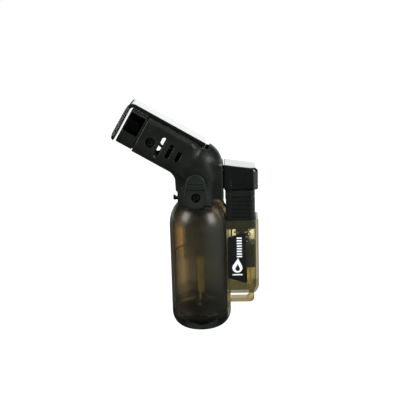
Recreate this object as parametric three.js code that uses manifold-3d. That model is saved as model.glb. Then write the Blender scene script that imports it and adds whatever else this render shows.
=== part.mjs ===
// A pocket butane torch: smoky fuel tank, angled jet head with a lift-up cap, side flame lock and a rear
// thumb trigger over a piezo igniter. Millimetres, +Z up. While it is drawn, X = Y = 0 is the tank's axis
// and Z = 0 is the surface it stands on; the nozzle points to -X and the trigger is at +X.
import * as THREE from "three";
import Module from "manifold-3d";
import { mergeVertices } from "three/addons/utils/BufferGeometryUtils.js";

const wasm = await Module();
wasm.setup();

// ---- driving dimensions ----

const GAP = 0.3; // clearance between pieces that touch or slide
const SEAM = 0.05; // half the parting line between the two casing shells
const AXIS_SHIFT = 5.5; // puts the origin under the middle of the torch's outer box

// Fuel tank
const TANK_RADIUS = 13.8;
const TANK_WALL = 1.4;
const FOOT_RADIUS = 8;
const FOOT_CORNER = 7; // height of the rounded bottom corner
const BASE_TOP = 8.9; // seam between the base cup and the tank
const SHOULDER_START = 48.6;
const SHOULDER_RISE = 11.6;
const SHOULDER_INSET = 6.6;
const SHOULDER_TOP = SHOULDER_START + SHOULDER_RISE;

// Column behind the tank, which guides the trigger and holds the igniter
const COLUMN_HALF = 8.7;
const COLUMN_WALL = 1.1;
const COLUMN_BACK = 27.1;
const COLUMN_BOTTOM = 17.7;
const COLUMN_TOP = 52.2;
const COLUMN_CORNER = 3.6;
const COLUMN_UPRIGHT = 3.4; // roundness of the column's rear upright corners
const WEB_FRONT = 6.1; // the taller web between the tank and the trigger
const WEB_BACK = 11.4;
const WEB_TOP = 61.9;

// Lanyard loop
const LOOP_LOW = 11.2;
const LOOP_HIGH = 12.9;
const LOOP_BACK = 24.9;
const LOOP_UPRIGHT = 2.5;
const LOOP_HALF = 2.9;

// Head casing
const BARREL_TILT = THREE.MathUtils.degToRad(30.5);
const CASING_HALF = 9.5;
const CASING_WALL = 1.4;
const BARREL_LOW = 58.1; // distances across the tilted barrel, from the origin
const BARREL_HIGH = 76.0;
const BARREL_MID = 67;
const BARREL_FRONT = 68.5; // distances along the tilted barrel, from the origin
const ELBOW_AT = 39.2;
const NECK_CENTRE = 0.2;
const NECK_HALF_LENGTH = 10.7;
const NECK_ROUNDNESS = 2.3;
const BOX_HALF = 8.4; // the flat-sided trigger guide behind the neck
const BOX_BACK = 11.3;
const BOX_BOTTOM = 62.2;

// Nozzle, cap and screws
const MOUTH = 76.8;
const CAP_FRONT = 79.8;
const CAP_TOP = 77.7;
const CAP_HEEL = 40.4;
const CAP_HALF = 7.2;
const CAP_THICKNESS = 2.1;
const CAP_HINGE = { s: 41, t: 75.1 };
const SCREW_AT = { s: 62.9, t: 66.2 };
const LOCK_PIVOT = { x: -0.93, z: 63.8 };
const VENTS = [
  { s: 58.0, t: 66.2, length: 10.5 },
  { s: 53.5, t: 66.8, length: 7.0 },
  { s: 49.0, t: 66.5, length: 4.8 },
];
const VENT_WIDTH = 1.9;

// Trigger and igniter
const TRIGGER_HALF = 7.1;
const TRIGGER_FRONT = 11.8;
const TRIGGER_BACK = 27.2;
const CAP_SKIRT = 66.2; // lower edge of the trigger's cap
const SLEEVE_FRONT = 12.2;
const SLEEVE_BACK = 25.7;
const SLEEVE_HALF = 7.1;
const SLEEVE_CORNER = 2;
const SLEEVE_BOTTOM = 47.9;
const TRIGGER_TRAVEL = 5;
const CAP_SWING = THREE.MathUtils.degToRad(28);
const GAS_SWING = THREE.MathUtils.degToRad(12);
const GAS_PIVOT = new THREE.Vector2(4.6, 68);
const GAS_FOLLOWER = new THREE.Vector2(8.6, 68.8);
const CAP_FOLLOWER = new THREE.Vector2(7.4, 74.7);
const IGNITER_AXIS = 19.6;
const PIEZO = { front: 15.2, back: 25.6, half: 4.6, low: 28.7, high: 39.8 };

// ---- shapes ----

const cosT = Math.cos(BARREL_TILT);
const sinT = Math.sin(BARREL_TILT);

// Where a point s along the barrel and t across it lies, as x and z.
function onBarrel(s, t) {
  return new THREE.Vector2(-cosT * s + sinT * t, sinT * s + cosT * t);
}

// A section drawn as (sideways, t) and extruded along the barrel from one s to another.
function alongBarrel(shape, from, to, curveSegments = 6) {
  const across = new THREE.Vector3(0, -1, 0);
  const up = new THREE.Vector3(sinT, 0, cosT);
  const along = new THREE.Vector3(-cosT, 0, sinT);
  return new THREE.ExtrudeGeometry(shape, { depth: to - from, bevelEnabled: false, curveSegments })
    .translate(0, 0, from)
    .applyMatrix4(new THREE.Matrix4().makeBasis(across, up, along));
}

// A side view drawn as (x, z) and extruded across the torch between two y values.
function sideways(shape, yLow, yHigh, curveSegments = 6) {
  return new THREE.ExtrudeGeometry(shape, { depth: yHigh - yLow, bevelEnabled: false, curveSegments })
    .rotateX(Math.PI / 2)
    .translate(0, yHigh, 0);
}

// A plan view drawn as (x, y) and extruded upwards.
function upright(shape, zLow, zHigh, curveSegments = 6) {
  return new THREE.ExtrudeGeometry(shape, { depth: zHigh - zLow, bevelEnabled: false, curveSegments })
    .translate(0, 0, zLow);
}

// A solid turned about the Z axis. The outline of (radius, z) runs anticlockwise.
function turned(outline, segments = 28) {
  const points = outline.map(([r, z]) => new THREE.Vector2(r, z));
  return new THREE.LatheGeometry(points, segments).rotateX(Math.PI / 2);
}

function block(low, high) {
  const size = high.map((v, i) => v - low[i]);
  const middle = high.map((v, i) => (v + low[i]) / 2);
  return new THREE.BoxGeometry(...size).translate(...middle);
}

function rod(radius, from, to, segments = 20) {
  const a = new THREE.Vector3(...from);
  const b = new THREE.Vector3(...to);
  const turn = new THREE.Quaternion().setFromUnitVectors(
    new THREE.Vector3(0, 1, 0),
    b.clone().sub(a).normalize(),
  );
  return new THREE.CylinderGeometry(radius, radius, a.distanceTo(b), segments)
    .applyQuaternion(turn)
    .translate(...a.lerp(b, 0.5).toArray());
}

// A rod across the torch, through the point (x, z) of the side view.
function crossRod(radius, at, yLow, yHigh, segments = 20) {
  return rod(radius, [at.x, yLow, at.y], [at.x, yHigh, at.y], segments);
}

function outline(points) {
  return new THREE.Shape(points.map((p) => (p.isVector2 ? p : new THREE.Vector2(...p))));
}

// A rectangle from (-half, low) to (half, high) with its own corner radius below and above.
function roundedBand(half, low, high, rLow, rHigh) {
  const shape = new THREE.Shape();
  shape.moveTo(-half + rLow, low);
  shape.lineTo(half - rLow, low);
  shape.absarc(half - rLow, low + rLow, rLow, -Math.PI / 2, 0);
  shape.lineTo(half, high - rHigh);
  shape.absarc(half - rHigh, high - rHigh, rHigh, 0, Math.PI / 2);
  shape.lineTo(-half + rHigh, high);
  shape.absarc(-half + rHigh, high - rHigh, rHigh, Math.PI / 2, Math.PI);
  shape.lineTo(-half, low + rLow);
  shape.absarc(-half + rLow, low + rLow, rLow, Math.PI, 1.5 * Math.PI);
  return shape;
}

function roundedBox(x0, x1, y0, y1, radius) {
  const shape = roundedBand((x1 - x0) / 2, 0, y1 - y0, radius, radius);
  const points = shape.getPoints(4).map((p) => new THREE.Vector2(p.x + (x0 + x1) / 2, p.y + y0));
  return outline(points);
}

// The neck's plan: a squarish oval.
function neckPlan(inset, steps = 28) {
  const a = NECK_HALF_LENGTH - inset;
  const b = CASING_HALF - 0.05 - inset;
  const power = 2 / NECK_ROUNDNESS;
  const points = [];
  for (let i = 0; i < steps; i++) {
    const angle = (2 * Math.PI * (i + 0.5)) / steps;
    const c = Math.cos(angle);
    const s = Math.sin(angle);
    points.push([
      NECK_CENTRE + a * Math.sign(c) * Math.abs(c) ** power,
      b * Math.sign(s) * Math.abs(s) ** power,
    ]);
  }
  return outline(points);
}

// A slot of round-ended outline around a line of points in the side view.
function slotAround(points, radius) {
  const left = [];
  const right = [];
  const last = points.length - 1;
  points.forEach((p, i) => {
    const along = points[Math.min(i + 1, last)].clone().sub(points[Math.max(i - 1, 0)]).normalize();
    const side = new THREE.Vector2(-along.y, along.x).multiplyScalar(radius);
    left.push(p.clone().add(side));
    right.unshift(p.clone().sub(side));
  });
  const round = (centre, start) =>
    [1, 2, 3, 4].map((i) => {
      const angle = start - (i * Math.PI) / 5;
      return centre.clone().add(new THREE.Vector2(Math.cos(angle), Math.sin(angle)).multiplyScalar(radius));
    });
  const endAngle = left[last].clone().sub(points[last]).angle();
  const startAngle = right[last].clone().sub(points[0]).angle();
  return outline([...left, ...round(points[last], endAngle), ...right, ...round(points[0], startAngle)]);
}

// A compression spring around the Z axis.
class Helix extends THREE.Curve {
  constructor(radius, turns, length) {
    super();
    Object.assign(this, { radius, turns, length });
  }
  getPoint(u, target = new THREE.Vector3()) {
    const angle = 2 * Math.PI * this.turns * u;
    return target.set(this.radius * Math.cos(angle), this.radius * Math.sin(angle), this.length * u);
  }
}

function swept(curve, radius, steps, sides = 8, bore = 0) {
  const shape = new THREE.Shape().absarc(0, 0, radius, 0, 2 * Math.PI);
  if (bore) shape.holes.push(new THREE.Path().absarc(0, 0, bore, 0, 2 * Math.PI, true));
  return new THREE.ExtrudeGeometry(shape, {
    extrudePath: curve,
    steps,
    curveSegments: sides / 2,
    bevelEnabled: false,
  });
}

function coil(radius, wire, turns, length) {
  return swept(new Helix(radius, turns, length), wire, turns * 8, 4);
}

function route(points) {
  return new THREE.CatmullRomCurve3(points.map((p) => new THREE.Vector3(...p)), false, "centripetal");
}

// ---- joining and cutting ----

function solid(geometry) {
  const bare = geometry.clone().deleteAttribute("normal").deleteAttribute("uv");
  const merged = mergeVertices(bare, 1e-4);
  return new wasm.Manifold(
    new wasm.Mesh({
      numProp: 3,
      vertProperties: merged.attributes.position.array,
      triVerts: new Uint32Array(merged.index.array),
    }),
  );
}

function join(...geometries) {
  return geometries.map(solid).reduce((sum, next) => sum.add(next));
}

function cut(body, ...tools) {
  return tools.map(solid).reduce((left, tool) => left.subtract(tool), body);
}

function geometryOf(manifold) {
  const mesh = manifold.getMesh();
  return new THREE.BufferGeometry()
    .setAttribute("position", new THREE.BufferAttribute(mesh.vertProperties, 3))
    .setIndex(new THREE.BufferAttribute(mesh.triVerts, 1));
}

// ---- materials ----

function surface(color, roughness, metalness = 0, opacity = 1) {
  return new THREE.MeshStandardMaterial({
    color,
    roughness,
    metalness,
    opacity,
    transparent: opacity < 1,
  });
}

const casingBlack = surface(0x1b201a, 0.55);
const glossBlack = surface(0x0b0c0b, 0.2);
const ribbedBlack = surface(0x141713, 0.45);
const smoky = surface(0x4a4232, 0.25, 0, 0.5);
const brass = surface(0xb08a3c, 0.3, 1);
const steel = surface(0xa8a9a6, 0.35, 1);
const blackSteel = surface(0x0a0b0b, 0.4, 1);
const rubber = surface(0x161616, 0.8);
const yellowPlastic = surface(0xb9a03c, 0.45);
const ceramic = surface(0xd9d6cc, 0.5);
const labelBlack = surface(0x0d1014, 0.3);

const torch = new THREE.Group();
torch.name = "butane_torch";
torch.position.x = AXIS_SHIFT;

function add(name, shape, material) {
  const geometry = shape.isBufferGeometry ? shape : geometryOf(shape);
  const mesh = new THREE.Mesh(geometry, material);
  mesh.name = name;
  torch.add(mesh);
  return mesh;
}

// ---- fuel tank ----

function arc(count, point) {
  return Array.from({ length: count + 1 }, (_, i) => point((i / count) * (Math.PI / 2)));
}

// The shoulder, from the tank's side in to its top, at some distance inside or outside the skin.
function shoulder(offset, count = 7) {
  return arc(count, (a) => [
    TANK_RADIUS - SHOULDER_INSET + (SHOULDER_INSET + offset) * Math.cos(a),
    SHOULDER_START + (SHOULDER_RISE + offset) * Math.sin(a),
  ]);
}

function tankDome(offset) {
  return turned([
    [0, SHOULDER_START - 4],
    [TANK_RADIUS + offset, SHOULDER_START - 4],
    ...shoulder(offset),
    [0, SHOULDER_TOP + offset],
  ]);
}

const VALVE_BORE = 3.7;
const SPIGOT = TANK_RADIUS - TANK_WALL; // inside radius, which the base cup's rim enters

function tankShell() {
  return turned([
    [SPIGOT, BASE_TOP + GAP / 2],
    [TANK_RADIUS, BASE_TOP + GAP / 2],
    ...shoulder(0),
    [VALVE_BORE, SHOULDER_TOP],
    [VALVE_BORE, SHOULDER_TOP - 6.5],
    [5.2, SHOULDER_TOP - 6.5],
    [5.2, SHOULDER_TOP - 2],
    ...shoulder(-TANK_WALL).reverse(),
    [SPIGOT, BASE_TOP + GAP / 2],
  ], 36);
}

function columnSide(inset) {
  const corner = COLUMN_CORNER - inset;
  const back = COLUMN_BACK - inset;
  const low = COLUMN_BOTTOM + inset;
  const shape = new THREE.Shape();
  shape.moveTo(WEB_FRONT, low);
  shape.lineTo(back - corner, low);
  shape.absarc(back - corner, low + corner, corner, -Math.PI / 2, 0);
  shape.lineTo(back, COLUMN_TOP + (inset ? 20 : 0));
  shape.lineTo(inset ? WEB_FRONT : WEB_BACK, COLUMN_TOP + (inset ? 20 : 0));
  if (!inset) {
    shape.lineTo(WEB_BACK, WEB_TOP);
    shape.lineTo(WEB_FRONT, WEB_TOP);
  }
  return shape;
}

function tankBody() {
  const core = turned([
    [0, BASE_TOP + GAP / 2],
    [SPIGOT + 0.5, BASE_TOP + GAP / 2],
    ...shoulder(-0.9),
    [0, SHOULDER_TOP - 0.9],
  ]);
  const half = COLUMN_HALF;
  const insideHalf = half - COLUMN_WALL;
  // Rounded upright corners come from a plan outline that the side view is cut with.
  const plan = (inset) =>
    solid(upright(roundedBox(-10, COLUMN_BACK - inset, inset - half, half - inset, COLUMN_UPRIGHT - inset), 0, 80, 4));
  const bore = solid(sideways(columnSide(COLUMN_WALL), -insideHalf, insideHalf)).intersect(plan(COLUMN_WALL));
  const column = solid(sideways(columnSide(0), -half, half)).intersect(plan(0)).subtract(bore);
  const guides = [-1, 1].map((side) => {
    const inner = side * 6.1;
    const outer = side * (insideHalf + 0.2);
    const [low, high] = [Math.min(inner, outer), Math.max(inner, outer)];
    return solid(block([WEB_BACK - 1, low, COLUMN_BOTTOM + 0.5], [WEB_BACK, high, WEB_TOP]));
  });
  const loopOuter = roundedBox(10, LOOP_BACK, LOOP_LOW, COLUMN_BOTTOM + 4, 2.2);
  const loopInner = roundedBox(8, LOOP_BACK - LOOP_UPRIGHT, LOOP_HIGH, COLUMN_BOTTOM + 6, 1.2);
  const loop = cut(solid(sideways(loopOuter, -LOOP_HALF, LOOP_HALF)), sideways(loopInner, -4, 4))
    .subtract(solid(block([0, -5, COLUMN_BOTTOM + 0.4], [40, 5, COLUMN_BOTTOM + 10])));
  const outside = guides.reduce((sum, guide) => sum.add(guide), column.add(loop));
  return solid(tankShell()).add(outside.subtract(solid(core)));
}

add("tank_body", tankBody(), smoky);

const FILL_BORE = 3.3;

add(
  "tank_base",
  turned([
    [FILL_BORE, 0],
    [FOOT_RADIUS, 0],
    ...arc(7, (a) => [
      FOOT_RADIUS + (TANK_RADIUS - FOOT_RADIUS) * Math.sin(a),
      FOOT_CORNER * (1 - Math.cos(a)),
    ]).slice(1),
    [TANK_RADIUS, BASE_TOP - GAP / 2],
    [SPIGOT - GAP, BASE_TOP - GAP / 2],
    [SPIGOT - GAP, 12.4],
    [SPIGOT - 1.5, 12.4],
    [SPIGOT - 1.5, 6.4],
    [7.4, 2.4],
    [5.2, 2.4],
    [5.2, 9.6],
    [FILL_BORE, 9.6],
    [FILL_BORE, 0],
  ], 40),
  smoky,
);

// ---- filling valve in the base ----

add(
  "fill_valve_body",
  turned([
    [1.7, 1.4],
    [3, 1.4],
    [3, 10],
    [3.9, 10],
    [3.9, 11.2],
    [2.6, 11.2],
    [2.6, 15.2],
    [0.6, 15.2],
    [0.6, 14],
    [2.0, 14],
    [2.0, 4.6],
    [1.7, 4.6],
    [1.7, 1.4],
  ], 24),
  brass,
);
add(
  "fill_valve_seal",
  turned([[1.5, 4.9], [1.9, 4.9], [1.9, 6.1], [1.5, 6.1], [1.5, 4.9]], 20),
  rubber,
);
add(
  "fill_valve_stem",
  turned([[0, 1.6], [1.15, 1.6], [1.15, 6.5], [1.75, 6.5], [1.75, 7.4], [0.7, 7.4], [0.7, 8.6], [0, 8.6]], 20),
  steel,
);
add("fill_valve_spring", coil(1.3, 0.22, 4, 5.2).translate(0, 0, 8.1), steel);
add(
  "fill_riser",
  turned([
    [0.7, 15.6],
    [1.5, 15.6],
    [1.5, 29.6],
    [2.0, 30.2],
    [2.0, 32.2],
    [1.3, 33],
    [0.7, 33],
    [0.7, 15.6],
  ], 16),
  yellowPlastic,
);

// ---- gas valve in the tank's neck ----

add(
  "valve_body",
  turned([
    [2.3, 53],
    [3.4, 53],
    [3.4, 65.2],
    [2.6, 65.8],
    [1.5, 65.8],
    [1.5, 64.2],
    [2.3, 64.2],
    [2.3, 53],
  ], 24),
  brass,
);
add(
  "valve_filter",
  turned([[0, 53.3], [2, 53.3], [2, 55.1], [0, 55.1]], 16),
  ceramic,
);
add("valve_spring", coil(1.5, 0.22, 4, 4.2).translate(0, 0, 55.7), steel);
add(
  "valve_seal",
  turned([[1.45, 62.7], [2.0, 62.7], [2.0, 63.9], [1.45, 63.9], [1.45, 62.7]], 20),
  rubber,
);
add(
  "valve_stem",
  turned([
    [0, 60.3],
    [1.9, 60.3],
    [1.9, 61.3],
    [1.1, 61.3],
    [1.1, 68.6],
    [2.1, 68.6],
    [2.1, 69.4],
    [0.95, 69.4],
    [0.95, 72.4],
    [0, 72.4],
  ], 20),
  brass,
);

// The ring turns on the valve body; its lever comes out through the casing's front window.
const ADJUSTER_LOW = 60.8;
const ADJUSTER_HIGH = 62.3;

function flameAdjuster() {
  const ring = turned([
    [VALVE_BORE, ADJUSTER_LOW],
    [5.2, ADJUSTER_LOW],
    [5.2, ADJUSTER_HIGH + 0.4],
    [VALVE_BORE, ADJUSTER_HIGH + 0.4],
    [VALVE_BORE, ADJUSTER_LOW],
  ], 24);
  const arm = block([-10.8, -1, ADJUSTER_LOW], [-4.6, 1, ADJUSTER_HIGH]);
  const tip = block([-11.7, -1, ADJUSTER_LOW], [-10.6, 1, ADJUSTER_HIGH + 0.6]);
  return join(ring, arm, tip);
}

add("flame_adjuster", flameAdjuster(), glossBlack);

// ---- head casing, in two shells ----

function elbow(inset) {
  const centre = onBarrel(ELBOW_AT, BARREL_MID);
  return new THREE.SphereGeometry(1, 20, 12)
    .rotateX(Math.PI / 2)
    .scale(11 - inset, CASING_HALF - inset, 10.3 - inset)
    .rotateY(BARREL_TILT)
    .translate(centre.x, 0, centre.y);
}

function casingForm(inset) {
  const end = inset ? 1 : 0; // the hollow runs past the ends of the skin
  const section = roundedBand(
    CASING_HALF - inset,
    BARREL_LOW + inset,
    BARREL_HIGH - inset,
    5 - inset,
    2.5 - inset,
  );
  const neckLow = BOX_BOTTOM - 4.3 - end;
  const boxLow = BOX_BOTTOM - end;
  const backX = BOX_BACK - inset;
  const guide = outline([
    [0, boxLow],
    [backX, boxLow],
    [backX, 77.4 - inset],
    [3.9, 80.3 - inset],
    [0, 80.3 - inset],
  ]);
  return join(
    alongBarrel(section, 42, BARREL_FRONT + end),
    elbow(inset),
    upright(neckPlan(inset), neckLow, 77),
    sideways(guide, -(BOX_HALF - inset), BOX_HALF - inset),
  );
}

function ventShape({ s, t, length }) {
  const radius = VENT_WIDTH / 2;
  const reach = length / 2 - radius;
  return slotAround([onBarrel(s, t - reach), onBarrel(s, t), onBarrel(s, t + reach)], radius);
}

const capHingeAt = onBarrel(CAP_HINGE.s, CAP_HINGE.t);
const frontScrewAt = onBarrel(SCREW_AT.s, SCREW_AT.t);
const lockPivotAt = new THREE.Vector2(LOCK_PIVOT.x, LOCK_PIVOT.z);
const HEAD_RECESS = 2.35;

function casing() {
  const hollow = casingForm(CASING_WALL);
  const skin = casingForm(0).subtract(hollow);
  // The cap's strip lies in a seat along the top of the barrel.
  const seat = outline([
    onBarrel(38.9, BARREL_HIGH),
    onBarrel(38.9, 90),
    onBarrel(60, 90),
    onBarrel(60, BARREL_HIGH),
  ]);
  const heelRoom = outline([
    onBarrel(38.9, 75.5),
    onBarrel(38.9, 90),
    onBarrel(41.2, 90),
    onBarrel(41.2, 75.5),
  ]);
  const lugSlot = outline([
    onBarrel(38.9, 70),
    onBarrel(38.9, 90),
    onBarrel(44, 90),
    onBarrel(44, 70),
  ]);
  const window = block([-14, -4.2, 59.4], [-8, 4.2, 65.2]);
  const forkSlots = [-1, 1].map((side) => block([9, side * 5 - 1, 60], [13, side * 5 + 1, 76.2]));
  return cut(
    skin,
    tankDome(GAP),
    sideways(seat, -12, 12),
    sideways(heelRoom, -CAP_HALF - 0.4, CAP_HALF + 0.4),
    sideways(lugSlot, -5.4, 5.4),
    window,
    block([WEB_FRONT - GAP, -12, 50], [20, 12, BOX_BOTTOM]),
    crossRod(0.9, capHingeAt, -6.8, 6.8, 14),
    crossRod(1, GAS_PIVOT, -8.4, 8.4, 14),
    ...forkSlots,
    ...VENTS.map((vent) => sideways(ventShape(vent), -12, 12)),
  );
}

const headCasing = casing();
const nearHalf = solid(block([-60, -20, 40], [30, -SEAM, 120]));
const farHalf = solid(block([-60, SEAM, 40], [30, 20, 120]));

// The near shell holds the screw heads, and the far shell the front screw's pillar.
function nearShell() {
  const pillar = crossRod(2.3, frontScrewAt, -8, -SEAM);
  const seat = crossRod(3.1, frontScrewAt, -9.2, -6.6);
  const pad = crossRod(5.3, lockPivotAt, -9.5, -7.6, 28);
  return cut(
    headCasing.intersect(nearHalf).add(join(pillar, seat)).add(cut(solid(pad), tankDome(GAP))),
    crossRod(HEAD_RECESS, frontScrewAt, -12, -7.6),
    crossRod(1.3, frontScrewAt, -12, 1, 16),
    crossRod(2.7, lockPivotAt, -12, -6),
  );
}

// It also holds the baffle that stands beside the gas line, between the burner and the neck.
function farShell() {
  const pillar = crossRod(2.3, frontScrewAt, SEAM, 9.2);
  const baffle = sideways(
    outline([onBarrel(46.2, 59), onBarrel(55.6, 59), onBarrel(55.6, 75), onBarrel(46.2, 75)]),
    3.6,
    4.6,
  );
  return cut(
    headCasing.intersect(farHalf).add(join(pillar, baffle)),
    crossRod(1.3, frontScrewAt, -1, 7.5, 16),
  );
}

add("casing_left", nearShell(), casingBlack);
add("casing_right", farShell(), casingBlack);

// ---- screws ----

function crossScrew(at, headY, tipY) {
  const head = crossRod(1.95, at, headY, headY + 1.3, 18);
  const shank = crossRod(0.95, at, headY + 1, tipY, 12);
  const blades = [Math.PI / 4, -Math.PI / 4].map((angle) =>
    block([-1.3, -0.4, -0.25], [1.3, 0.7, 0.25]).rotateY(angle).translate(at.x, headY, at.y),
  );
  return cut(join(head, shank), ...blades);
}

add("front_screw", crossScrew(frontScrewAt, -8.95, 7), steel);
add("lock_pivot_screw", crossScrew(lockPivotAt, -10.5, -5.7), steel);

// ---- flame lock ----

const LOCK_FACE = -11.1;
const LOCK_BACK = -9.8;
const LOCK_TOP = 74.5;
const LOCK_TOP_RADIUS = 4.3;
const LOCK_HUB_RADIUS = 5.4;

function lockOutline() {
  const top = new THREE.Vector2(LOCK_PIVOT.x, LOCK_TOP - LOCK_TOP_RADIUS);
  const side = Math.acos((LOCK_HUB_RADIUS - LOCK_TOP_RADIUS) / (top.y - LOCK_PIVOT.z));
  const shape = new THREE.Shape();
  shape.absarc(LOCK_PIVOT.x, LOCK_PIVOT.z, LOCK_HUB_RADIUS, Math.PI / 2 + side, 2.5 * Math.PI - side);
  shape.absarc(top.x, top.y, LOCK_TOP_RADIUS, Math.PI / 2 - side, Math.PI / 2 + side);
  return shape;
}

function flameLock() {
  const plate = sideways(lockOutline(), LOCK_FACE, LOCK_BACK, 8);
  const stub = crossRod(2.3, lockPivotAt, LOCK_BACK - 0.2, -7);
  const ridges = [67.4, 70.2, 73].map((z) =>
    block([-4.6, LOCK_FACE - 1, z], [2.7, LOCK_FACE + 0.4, z + 0.5]),
  );
  // The back of the hub clears the tank's shoulder wherever the lever stands.
  const shoulders = [0, 8, 16, 25].map((degrees) =>
    tankDome(GAP)
      .translate(-LOCK_PIVOT.x, 0, -LOCK_PIVOT.z)
      .rotateY(-THREE.MathUtils.degToRad(degrees))
      .translate(LOCK_PIVOT.x, 0, LOCK_PIVOT.z),
  );
  return cut(
    join(plate, stub),
    crossRod(2.25, lockPivotAt, -12, -9.1),
    crossRod(1.25, lockPivotAt, -12, -5, 16),
    ...ridges,
    ...shoulders,
  );
}

// The cam keys on to the lock's stub inside the casing and ends in the finger that holds the trigger down.
function lockCam() {
  const hub = crossRod(3.2, lockPivotAt, -6.7, -6);
  const finger = sideways(
    outline([[-1, 62.6], [6.4, 65.2], [6.4, 66.6], [-1, 66.4]]),
    -6.7,
    -6,
  );
  return cut(join(hub, finger), crossRod(1.25, lockPivotAt, -12, -5, 16));
}

add("flame_lock_lever", flameLock(), casingBlack);
add("flame_lock_cam", lockCam(), ribbedBlack);

// ---- nozzle ----

// The shroud fills the casing's front and leaves both sides of the burner open above its lower jaw.
function nozzleShroud() {
  const section = (inset) =>
    roundedBand(
      8.9 - inset,
      BARREL_LOW + 0.7 + inset,
      BARREL_HIGH - 0.6 - inset,
      4.6 - inset,
      2 - inset * 0.8,
    );
  const spigot = roundedBand(7.8, BARREL_LOW + 1.8, BARREL_HIGH - 1.8, 3.4, 1.4);
  const windows = outline([
    onBarrel(69.3, 65.3),
    onBarrel(76.1, 65.3),
    onBarrel(76.1, 74.2),
    onBarrel(69.3, 74.2),
  ]);
  const body = join(
    alongBarrel(section(0), BARREL_FRONT + GAP, MOUTH),
    alongBarrel(spigot, 66.2, BARREL_FRONT + 1),
  );
  return cut(body, alongBarrel(section(1.5), 60, 80), sideways(windows, -12, 12));
}

add("nozzle_shroud", nozzleShroud(), casingBlack);

// Turned parts on the barrel's own axis, drawn as (radius, s).
function onBarrelAxis(profile, segments = 24) {
  const centre = onBarrel(0, BARREL_MID);
  return turned(profile, segments)
    .rotateY(BARREL_TILT - Math.PI / 2)
    .translate(centre.x, 0, centre.y);
}

add(
  "nozzle_guard",
  onBarrelAxis([[6.1, 66.4], [6.7, 66.4], [6.7, 76.3], [6.1, 76.3], [6.1, 66.4]], 28),
  blackSteel,
);
add(
  "burner_ring",
  onBarrelAxis([[4.1, 68.2], [5.7, 68.2], [5.7, 70.2], [4.7, 75.4], [4.1, 75.4], [4.1, 68.2]], 24),
  steel,
);
add(
  "burner_core",
  onBarrelAxis([[0, 67], [3.1, 67], [3.1, 72.6], [1.2, 72.6], [1.2, 71.4], [0, 71.4]], 20),
  brass,
);

// ---- gas and ignition lines ----

// A route in the barrel, from points given as (s, t) and an optional sideways y.
function barrelRoute(points) {
  return points.map(([s, t, y = 0]) => {
    const at = onBarrel(s, t);
    return [at.x, y, at.y];
  });
}

add(
  "jet_tube",
  swept(
    route(
      barrelRoute([
        [47.5, 69.4],
        [50.5, 68],
        [54, 66.6],
        [57.6, 65.5],
        [59, 66.2],
        [60.1, 68.4],
        [61.4, 69.6],
        [64.6, 69.4],
        [66.5, 67],
      ]),
    ),
    0.65,
    30,
    6,
  ),
  brass,
);
add(
  "gas_hose",
  swept(
    route([[0, 0, 70.6], [0, 0, 73.2], [-1.2, 0, 76.6], ...barrelRoute([[43.5, 68.6], [47, 69.4]])]),
    1.9,
    12,
    8,
    1.25,
  ),
  rubber,
);
add(
  "ignition_lead",
  swept(
    route([
      [14.5, 0, 36],
      [14.5, 0, 49.5],
      [13.9, 0, 53.6],
      [11.5, 0, 58.4],
      [9.1, -0.4, 61.9],
      [8.6, -0.8, 66],
      [8.4, -1, 72],
      [4.5, -2.8, 78],
      ...barrelRoute([[46, 65.4, -3.6], [54, 64.4, -3], [59, 62.4, -1.6], [63.5, 62.2, -0.6], [66.1, 63.2]]),
    ]),
    0.42,
    44,
    6,
  ),
  rubber,
);
const [electrodeStart, electrodeEnd] = barrelRoute([[66.6, 63.4], [74.6, 63.4]]);
add("electrode", rod(0.25, electrodeStart, electrodeEnd, 8), steel);

// ---- cap: top strip, front plate and tail in one lever ----

const TAIL_Y = 3.3;
const TAIL_HALF = 0.8;
const FOLLOWER_RADIUS = 0.9;
// The trigger's fork: each side plate carries a cam slot for one follower.
const FORK_INNER = 4.4;
const FORK_OUTER = 5.6;

function capLever() {
  const stripLow = BARREL_HIGH + GAP;
  const inner = CAP_FRONT - CAP_THICKNESS;
  const strip = outline([
    onBarrel(CAP_HEEL, stripLow),
    onBarrel(inner, stripLow),
    onBarrel(inner, 59.6),
    onBarrel(CAP_FRONT - 0.9, 58.7),
    onBarrel(CAP_FRONT, 60.4),
    onBarrel(CAP_FRONT + 0.1, 68),
    onBarrel(CAP_FRONT - 0.1, 74.6),
    onBarrel(CAP_FRONT - 0.7, 76.5),
    onBarrel(CAP_FRONT - 2.2, CAP_TOP),
    onBarrel(CAP_HEEL, CAP_TOP),
  ]);
  const lug = outline([
    onBarrel(CAP_HEEL, stripLow + 0.2),
    onBarrel(CAP_HEEL, CAP_HINGE.t - 0.4),
    onBarrel(41, CAP_HINGE.t - 1.6),
    onBarrel(42.6, CAP_HINGE.t - 0.8),
    onBarrel(42.8, stripLow + 0.2),
  ]);
  const tail = outline([
    onBarrel(CAP_HEEL, CAP_HINGE.t - 0.4),
    onBarrel(42.8, CAP_HINGE.t - 0.9),
    new THREE.Vector2(CAP_FOLLOWER.x - 1.3, CAP_FOLLOWER.y - 0.3),
    new THREE.Vector2(CAP_FOLLOWER.x + 0.6, CAP_FOLLOWER.y - 1.2),
    new THREE.Vector2(CAP_FOLLOWER.x + 1.2, CAP_FOLLOWER.y + 0.9),
  ]);
  const lugs = [-TAIL_Y, TAIL_Y].map((y) => sideways(lug, y - TAIL_HALF, y + TAIL_HALF));
  return cut(
    join(
      sideways(strip, -CAP_HALF, CAP_HALF),
      ...lugs,
      sideways(tail, TAIL_Y - TAIL_HALF, TAIL_Y + TAIL_HALF),
      crossRod(FOLLOWER_RADIUS, CAP_FOLLOWER, TAIL_Y, FORK_OUTER, 12),
    ),
    crossRod(0.6 + GAP, capHingeAt, -8, 8, 16),
  );
}

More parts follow.
